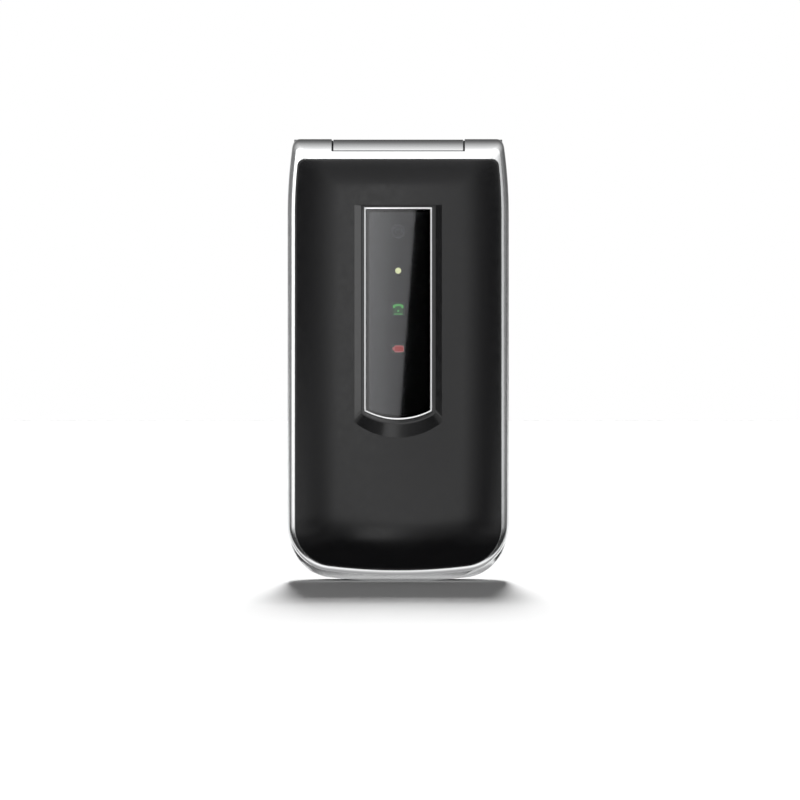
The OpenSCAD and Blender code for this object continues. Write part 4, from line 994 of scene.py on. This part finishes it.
def side_keys():
    for name, side, up, height, slot in SIDE_KEYS:
        x, y = side * 17, NAV_Y + up
        cap = key_cap(lambda g: side_key_shape(side, up, height, g), (x, y), slot)
        if height == 7:
            shape, ink = rounded(3.4, 0.7, 0.3, x, y), "key_print"
        else:
            shape, ink = turned(handset_shape(), 135 if side < 0 else 0, x, y, 0.85), "mark_white"
        mark = plate(shape, KEY_TOP - 0.3, KEY_TOP + 0.012, "mark", finishes[ink])
        finish_piece(join("cap_" + name, [cap, mark]), name, slot, name)


def navigation():
    inner, low = OK_R + 0.3, PLATE_Z - 0.6
    profile = [(inner, low), (NAV_R + 0.6, low), (NAV_R + 0.6, low + 0.2), (NAV_R, low + 0.2),
               (NAV_R, KEY_TOP - 0.42), (NAV_R - 0.05, KEY_TOP - 0.24), (NAV_R - 0.16, KEY_TOP - 0.1),
               (NAV_R - 0.34, KEY_TOP - 0.02),
               (NAV_R - 0.6, KEY_TOP), (NAV_R - 1.6, KEY_TOP - 0.06), (inner + 1.2, KEY_TOP - 0.17),
               (inner + 0.3, KEY_TOP - 0.2), (inner + 0.08, KEY_TOP - 0.27), (inner, KEY_TOP - 0.4)]
    parts = [spun("ring", profile, 0, NAV_Y, finishes["key_silver"], 96)]
    arrow = [(-0.95, -0.45), (0.95, -0.45), (0, 0.6)]
    for angle in (0, 90, 180, 270):
        a = math.radians(angle + 90)
        spot = (7.0 * math.cos(a), NAV_Y + 7.0 * math.sin(a))
        parts.append(plate(turned(arrow, angle, *spot), KEY_TOP - 0.5, KEY_TOP + 0.005, "arrow",
                           finishes["key_print"]))
    finish_piece(join("navigation_ring", parts), "nav_ring", "key_silver", "nav_ring")
    low = FLANGE_Z
    profile = [(0, low), (OK_R, low), (OK_R, KEY_TOP - 0.5), (OK_R - 0.05, KEY_TOP - 0.36),
               (OK_R - 0.18, KEY_TOP - 0.25), (OK_R - 0.4, KEY_TOP - 0.18), (OK_R - 1.0, KEY_TOP - 0.1),
               (OK_R / 2, KEY_TOP - 0.04), (0.9, KEY_TOP - 0.01), (0, KEY_TOP)]
    ring = [(1.3, KEY_TOP - 0.3), (1.3, KEY_TOP), (1.65, KEY_TOP), (1.65, KEY_TOP - 0.3)]
    parts = [spun("middle", profile, 0, NAV_Y, finishes["key_light"], 72),
             spun("circle", ring, 0, NAV_Y, finishes["key_print"], 48)]
    finish_piece(join("middle_key", parts), "ok_key", "key_light", "ok_key")


def block_ring(x, w, h, r):
    """A round-cornered ring across the x axis, at the rocker."""
    return [(x, ROCKER_Y + p, ROCKER_Z + q) for p, q in rounded(w, h, r, n=4)]


def rocker():
    out = ROCKER_OUT
    rings = [block_ring(out - 2.5, 17.4, 2.1, 0.2), block_ring(out - 2.0, 17.4, 2.1, 0.2),
             block_ring(out - 2.0, 16, 2.1, 0.7), block_ring(out - 0.4, 16, 2.1, 0.7)]
    for a in (30, 60, 85):
        e = 0.4 * (1 - math.cos(math.radians(a)))
        rings.append(block_ring(out - 0.4 * (1 - math.sin(math.radians(a))), 16 - 2 * e, 2.1 - 2 * e, 0.7))
    parts = [loft("body", rings, finishes["key_silver"])]
    long, thin = 0.7, 0.13
    for y, half_y, half_z in ((-5.4, long, thin), (5.4, long, thin), (5.4, thin, long)):
        y += ROCKER_Y
        parts.append(block(out - 0.2, out + 0.012, y - half_y, y + half_y,
                           ROCKER_Z - half_z, ROCKER_Z + half_z, "key_print"))
    finish_piece(join("rocker", parts), "volume_rocker", "key_silver", "volume_rocker")


def assist():
    z = BACK_Z
    profile = [(0, z + 0.42), (1.5, z + 0.4), (2.8, z + 0.34), (3.7, z + 0.26), (4.2, z + 0.21),
               (4.55, z + 0.2), (4.8, z + 0.26), (4.94, z + 0.38), (5, z + 0.56), (5, z + 1.1),
               (5.7, z + 1.1), (5.7, z + 1.6), (1.2, z + 1.6), (1.2, BOARD_Z - 1.05), (0, BOARD_Z - 1.05)]
    button = spun("assist", profile, 0, ASSIST_Y, finishes["key_red"], 96)
    ring = spun("circle", [(2.0, z + 0.36), (2.0, z + 0.6), (2.45, z + 0.6), (2.45, z + 0.33)], 0, ASSIST_Y,
                finishes["mark_white"], 64)
    finish_piece(join("help_button", [button, ring]), "assist_button", "key_red", "assist_button")


def copies(name, source, spots, material):
    """Copies of a source piece at the spots, placed by geometry nodes and turned into a plain mesh."""
    tree = bpy.data.node_groups.new(name + "_layout", "GeometryNodeTree")
    tree.interface.new_socket("Spots", in_out="INPUT", socket_type="NodeSocketGeometry")
    item = tree.interface.new_socket("Item", in_out="INPUT", socket_type="NodeSocketObject")
    finish = tree.interface.new_socket("Finish", in_out="INPUT", socket_type="NodeSocketMaterial")
    tree.interface.new_socket("Mesh", in_out="OUTPUT", socket_type="NodeSocketGeometry")
    begin, end = tree.nodes.new("NodeGroupInput"), tree.nodes.new("NodeGroupOutput")
    info = tree.nodes.new("GeometryNodeObjectInfo")
    place = tree.nodes.new("GeometryNodeInstanceOnPoints")
    real = tree.nodes.new("GeometryNodeRealizeInstances")
    paint = tree.nodes.new("GeometryNodeSetMaterial")
    for a, b in ((begin.outputs["Item"], info.inputs["Object"]),
                 (begin.outputs["Spots"], place.inputs["Points"]),
                 (info.outputs["Geometry"], place.inputs["Instance"]),
                 (place.outputs["Instances"], real.inputs[0]),
                 (real.outputs[0], paint.inputs["Geometry"]),
                 (begin.outputs["Finish"], paint.inputs["Material"]),
                 (paint.outputs[0], end.inputs["Mesh"])):
        tree.links.new(a, b)
    carrier_mesh = bpy.data.meshes.new(name + "_spots")
    carrier_mesh.from_pydata([stand(p) for p in spots], [], [])
    carrier = placed(name + "_spots", carrier_mesh)
    step = carrier.modifiers.new("layout", "NODES")
    step.node_group = tree
    step[item.identifier], step[finish.identifier] = source, finishes[material]
    mesh = plain_mesh(carrier)
    mesh.name = name
    for spare in (carrier, source):
        discard(spare)
    bpy.data.node_groups.remove(tree)
    mesh.shade_smooth()
    mesh.set_sharp_from_angle(angle=math.radians(35))
    return placed(name, mesh)


def screw(head_t, length):
    """A pan head with a hexagonal socket; its head begins at height 0."""
    hexagon = [(0.45 * math.cos(a), 0.45 * math.sin(a)) for a in (math.radians(60 * i) for i in range(6))]
    profile = [(0, 0), (1.15, 0), (1.24, 0.05), (1.3, 0.16), (1.3, head_t), (0.7, head_t), (0.7, length),
               (0, length)]
    form = spun("screw", profile, 0, 0, finishes["screw_steel"], 36)
    return carve(form, [plate(hexagon, -1, 0.4)])


def screws():
    made = copies("lid_screw_set", screw(0.65, LID_CAVITY - LID_BACK - 0.15),
                  [(x, y, LID_BACK + 0.05) for x, y in LID_SCREWS], "screw_steel")
    finish_piece(made, "lid", "screw_steel", "lid_screws")
    made = copies("base_screw_set", screw(0.85, SEAM_Z - FLOOR_Z + 2.0),
                  [(x, y, FLOOR_Z - 0.9) for x, y in BASE_SCREWS], "screw_steel")
    finish_piece(made, "base", "screw_steel", "base_screws")


def earpiece_holes():
    """Rows of small black discs on the earpiece's mesh: painted shade where its holes would be."""
    spots = [(-4.2 + i * 0.6 + (0.3 if row % 2 else 0), EARPIECE_Y + (row - 1) * 0.5, LID_BACK + 0.37)
             for row in range(3) for i in range(15 - row % 2)]
    # A thin black disc that paints a hole's shade; nothing is cut
    hole = plate(circle(0.17, 0, 0, 10), 0, 0.06)
    finish_piece(copies("earpiece_hole_set", hole, spots, "film_and_hole_shade_black"), "lid", "inner_black")


def bumpers():
    profile = [(0, FACE_Z + 0.06), (0.9, FACE_Z + 0.07), (1.25, FACE_Z + 0.12), (1.45, FACE_Z + 0.24),
               (1.5, LID_BACK), (0, LID_BACK)]
    parts = [spun("bumper", profile, s * 18, 6.9, finishes["rubber_black"], 40) for s in (-1, 1)]
    finish_piece(join("bumper_pair", parts), "lid", "rubber_black", "lid_bumpers")


def jack_ring():
    x = 0.3 - BASE_HALF
    rim = [(2.2, 0.1), (2.2, 0), (2.1, -0.06), (1.95, -0.06), (1.8, 0.05), (1.8, 0.4), (2.2, 0.4)]
    turns = [2 * math.pi * i / 48 for i in range(48)]
    rings = [[(x + o, JACK_Y + r * math.cos(t), JACK_Z + r * math.sin(t)) for t in turns] for r, o in rim]
    finish_piece(loft("jack_collar", rings, finishes["steel"], closed=True), "base", "steel")


def washers():
    """The dark washers between the barrel and the knuckles."""
    near, far, bore, rim = BARREL_W / 2 + 0.04, BARREL_W / 2 + 0.26, 1.6, BARREL_R - 0.2
    turns = [math.pi * i / 36 for i in range(72)]
    parts = []
    for s in (-1, 1):
        rings = [[(s * x, AXIS_Y + s * r * math.cos(t), AXIS_Z + r * math.sin(t)) for t in turns]
                 for x, r in ((near, bore), (near, rim), (far, rim), (far, bore))]
        parts.append(loft("washer", rings, finishes["rubber_black"], closed=True))
    finish_piece(join("hinge_washers", parts), "lid", "rubber_black")


base_front()
keypad_inlay()
base_rear()
rear_lid()
washers()
number_keys()
side_keys()
navigation()
rocker()
assist()
screws()
earpiece_holes()
bumpers()
jack_ring()


# ---- CAD nodes that stay ----


def dress(names, slot):
    for name in names:
        mesh = frame["nodes"][name].data
        mesh.materials.clear()
        mesh.materials.append(finishes[slot])


dress(["lid_board", "main_board"], "board_green")
dress(["display_panel"], "display_dark")
dress(["display_lens"], "display_glass")
dress(["lid_inner_cover"], "inner_black")
dress(["earpiece", "sim_socket", "loudspeaker", "headset_jack"], "part_dark")
dress(["earpiece_mesh"], "mesh_steel")
dress(["closing_magnet", "hinge_shaft", "hinge_pin", "hinge_cartridge", "vibration_motor", "usb_socket",
       "microphone"], "steel")
dress(["hinge_bush"], "bronze")
dress(["key_mat"], "mat_grey")
dress(["board_shield"], "shield_tin")
dress(["battery"], "battery_wrap")
dress(["battery_contacts", "antenna", "charging_contacts"], "contact_gold")


# ---- Studio ----

# In metres: where the lamps aim, the camera's place, and the floor strip's start and height
AIM = Vector((0, 0, 0.052))
EYE = Vector((0.00042, -1.05, 0.0426))
STRIP_Y, STRIP_Z = -0.0098, 0.0004


def reflector(name, points, faces, glow):
    """Part of the studio that only reflections see. glow gives each corner's brightness: 0 is black."""
    mesh = bpy.data.meshes.new(name)
    mesh.from_pydata(points, [], faces)
    mesh.attributes.new("glow", "FLOAT", "POINT").data.foreach_set("value", glow)
    obj = placed(name, mesh)
    f = Finish(name + "_cloth", (0, 0, 0), 1.0, Specular_IOR_Level=0.0, Emission_Color=(1, 1, 1))
    f.set("Emission Strength", f.node("ShaderNodeAttribute", {"attribute_name": "glow"}, output="Fac"))
    mesh.materials.append(f.material)
    obj.visible_camera = obj.visible_diffuse = obj.visible_shadow = False


def ramp(x, stops):
    """Straight lines through (place, value) stops."""
    for (x0, v0), (x1, v1) in zip(stops, stops[1:]):
        if x <= x1:
            return v0 + (v1 - v0) * max(0, min(1, (x - x0) / (x1 - x0)))
    return stops[-1][1]


# Brightness round the phone, by the angle from straight ahead
LEFT = [(0, 1.22), (7, 0.68), (13, 0.32), (18, 0.15), (23, 0.05), (27, 0.1), (29, 0.8), (33, 1.9), (50, 1.9),
        (52, 0.3), (62, 0.2), (80, 0.22), (95, 0.22), (130, 0.3), (150, 0.7), (165, 1)]
RIGHT = [(0, 1.22), (8, 0.68), (13, 0.3), (17, 0.18), (20, 0.09), (25, 0.05), (28, 0.8), (31, 1.4), (42, 1.4),
         (44, 0.3), (45, 0), (51, 0), (52, 0.3), (62, 0.22), (70, 0.18), (80, 0.14), (95, 0.12), (130, 0.14),
         (150, 0.5), (165, 1)]
UP = [(0, 1.22), (5, 0.82), (9, 0.62), (16, 0.5), (19, 0.9), (24, 1.7), (45, 1.5), (52, 1.15), (60, 0.95),
      (66, 0.85), (73, 0.72), (81, 0.6), (90, 0.48), (99, 0.36), (108, 0.25), (120, 0.17), (134, 0.12),
      (153, 0.09), (172, 0.3)]
DOWN = [(0, 1.22), (12, 0.1), (25, 0.1), (60, 1), (180, 1)]
# Brightness of the floor before the phone: by the distance in metres, near its foot and far, and of a patch
# that the window's lower slope mirrors, by the distance and by the place across
NEAR = [(-0.0082, 0.5), (-0.003, 0.4), (-0.0015, 0.6), (-0.0007, 1.15), (0.0015, 1.2), (0.003, 0.25),
        (0.0045, 0.04), (0.045, 0)]
FAR = [(0, 0), (0.03, 0.02), (0.1, 0.4), (0.2, 1.0), (12, 1.0)]
PATCH = [(0.045, 0), (0.06, 1.0), (0.1, 1.0), (0.13, 0)]
PATCH_ACROSS = [(-0.0125, 0.1), (-0.0095, 0.85), (-0.005, 0.9), (-0.002, 0.7), (0, 0.45), (0.003, 0.2),
                (0.007, 0.1)]


def around(d):
    """Brightness in a direction: the four profiles, blended between their directions."""
    angle, run = math.degrees(math.acos(max(-1, min(1, -d.y)))), math.hypot(d.x, d.z)
    if run < 1e-6:
        return ramp(angle, UP)
    side, height = ramp(angle, RIGHT if d.x > 0 else LEFT), ramp(angle, UP if d.z > 0 else DOWN)
    return (side * d.x ** 2 + height * d.z ** 2) / run ** 2


def tent():
    """A soft tent all round the phone."""
    points, glow, faces = [], [], []
    rings, sectors, radius = 90, 48, 12
    for i in range(rings + 1):
        a = math.pi * i / rings
        for j in range(sectors):
            t = 2 * math.pi * j / sectors
            d = Vector((math.sin(a) * math.cos(t), -math.cos(a), math.sin(a) * math.sin(t)))
            points.append(AIM + d * radius)
            glow.append(around(d))
    for i in range(rings):
        for j in range(sectors):
            k = (j + 1) % sectors
            faces.append((i * sectors + j, i * sectors + k, (i + 1) * sectors + k, (i + 1) * sectors + j))
    reflector("tent", points, faces, glow)


def floor_strip():
    """What the phone mirrors of the floor, from under the lid forwards."""
    out = [-0.0082, -0.006, -0.003, -0.0015, -0.0007, 0, 0.0015, 0.003, 0.0045, 0.008, 0.013, 0.02, 0.03,
           0.045, 0.06, 0.08, 0.1, 0.13, 0.2, 0.3, 0.6, 1, 3, 8]
    right = [0, 0.003, 0.007, 0.0125, 0.03, 0.06, 0.1, 0.2, 0.4, 0.8, 3, 8]
    across = sorted([-x for x in right[1:]] + [-0.0095, -0.005, -0.002] + right)
    points, glow = [], []
    for d in out:
        for x in across:
            far = around(Vector((x, -max(d, 0) - 1e-4, 0)).normalized())
            points.append((x, STRIP_Y - d, STRIP_Z))
            glow.append(ramp(d, NEAR) + ramp(d, FAR) * far + ramp(d, PATCH) * ramp(x, PATCH_ACROSS))
    row = len(across)
    faces = [(i * row + j, i * row + j + 1, (i + 1) * row + j + 1, (i + 1) * row + j)
             for i in range(len(out) - 1) for j in range(row - 1)]
    reflector("floor_strip", points, faces, glow)


def window_cards():
    """A bright card, and before it a black one with a slanting edge, for the lens to mirror."""
    y, low, top, right = -1.2, -0.03, 0.19, 0.019
    across = [(-0.0225, 2.6), (-0.016, 2.5), (-0.009, 2.1), (0.0, 1.5), (0.016, 1.3)]
    points = [(x, y - 0.01, z) for x, v in across for z in (low, top)]
    faces = [(2 * i, 2 * i + 2, 2 * i + 3, 2 * i + 1) for i in range(len(across) - 1)]
    reflector("window_card", points, faces, [v * share for x, v in across for share in (0.75, 1.2)])
    foot, head = (0.00023 + (z - 0.0319) * 0.075 for z in (low, top))
    corners = [(foot, y, low), (right, y, low), (right, y, top), (head, y, top)]
    reflector("window_flag", corners, [(0, 1, 2, 3)], [0.0] * 4)


def floor():
    mesh = bpy.data.meshes.new("floor")
    mesh.from_pydata([(-8, -8, 0), (8, -8, 0), (8, 8, 0), (-8, 8, 0)], [], [(0, 1, 2, 3)])
    obj = placed("floor", mesh)
    mesh.materials.append(Finish("floor_white", (0.98, 0.98, 0.98), 1.0, Specular_IOR_Level=0.0).material)


def world():
    """White where the camera looks past the phone, dim as light."""
    made = bpy.data.worlds.new("studio")
    bpy.context.scene.world = made
    made.use_nodes = True
    nodes, links = made.node_tree.nodes, made.node_tree.links
    path = nodes.new("ShaderNodeLightPath")
    seen = path.outputs["Is Camera Ray"]
    for ray in ("Is Glossy Ray", "Is Transmission Ray"):
        either = nodes.new("ShaderNodeMath")
        either.operation = "MAXIMUM"
        links.new(seen, either.inputs[0])
        links.new(path.outputs[ray], either.inputs[1])
        seen = either.outputs[0]
    level = nodes.new("ShaderNodeMapRange")
    links.new(seen, level.inputs["Value"])
    level.inputs["To Min"].default_value = 0.14
    level.inputs["To Max"].default_value = 1.0
    links.new(level.outputs[0], nodes["Background"].inputs["Strength"])
    nodes["Background"].inputs["Color"].default_value = (1, 1, 1, 1)


def lamp(kind, name, centre, power, size=(0.6, 0.6), only=None):
    """A lamp aimed at the phone. No gloss mirrors its own shape. A sun's size is its angle in degrees."""
    data = bpy.data.lights.new(name, kind)
    data.energy = power
    if kind == "AREA":
        data.shape, data.size, data.size_y = "RECTANGLE", *size
    else:
        data.angle = math.radians(size)
    obj = placed(name, data)
    obj.location = centre
    obj.rotation_mode = "QUATERNION"
    obj.rotation_quaternion = (AIM - Vector(centre)).to_track_quat("-Z", "Y")
    obj.visible_glossy = False
    if only:
        obj.light_linking.receiver_collection = only


def camera():
    data = bpy.data.cameras.new("camera")
    data.type, data.lens, data.sensor_width = "PERSP", 200, 36
    data.clip_start, data.clip_end = 0.05, 20
    obj = placed("camera", data)
    obj.location = EYE
    obj.rotation_euler = (math.radians(90), 0, 0)
    bpy.context.scene.camera = obj


phone_only = bpy.data.collections.new("phone_only")
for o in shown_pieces():
    phone_only.objects.link(o)
floor()
world()
tent()
floor_strip()
window_cards()
camera()
for height, power in ((49, 0.86), (42, 1.68), (35, 1.13), (28, 1.13)):
    tilt = math.radians(height)
    lamp("SUN", "floor_light", AIM + Vector((0, math.cos(tilt), math.sin(tilt))), power, 7)
lamp("AREA", "front_light", (-0.5, -1.0, 0.8), 10, only=phone_only)
lamp("AREA", "right_light", (0.9, -0.5, 0.4), 4, only=phone_only)
lamp("AREA", "back_light", (0.4, 1.0, 0.4), 6, only=phone_only)
bpy.context.scene.view_settings.view_transform = "Standard"
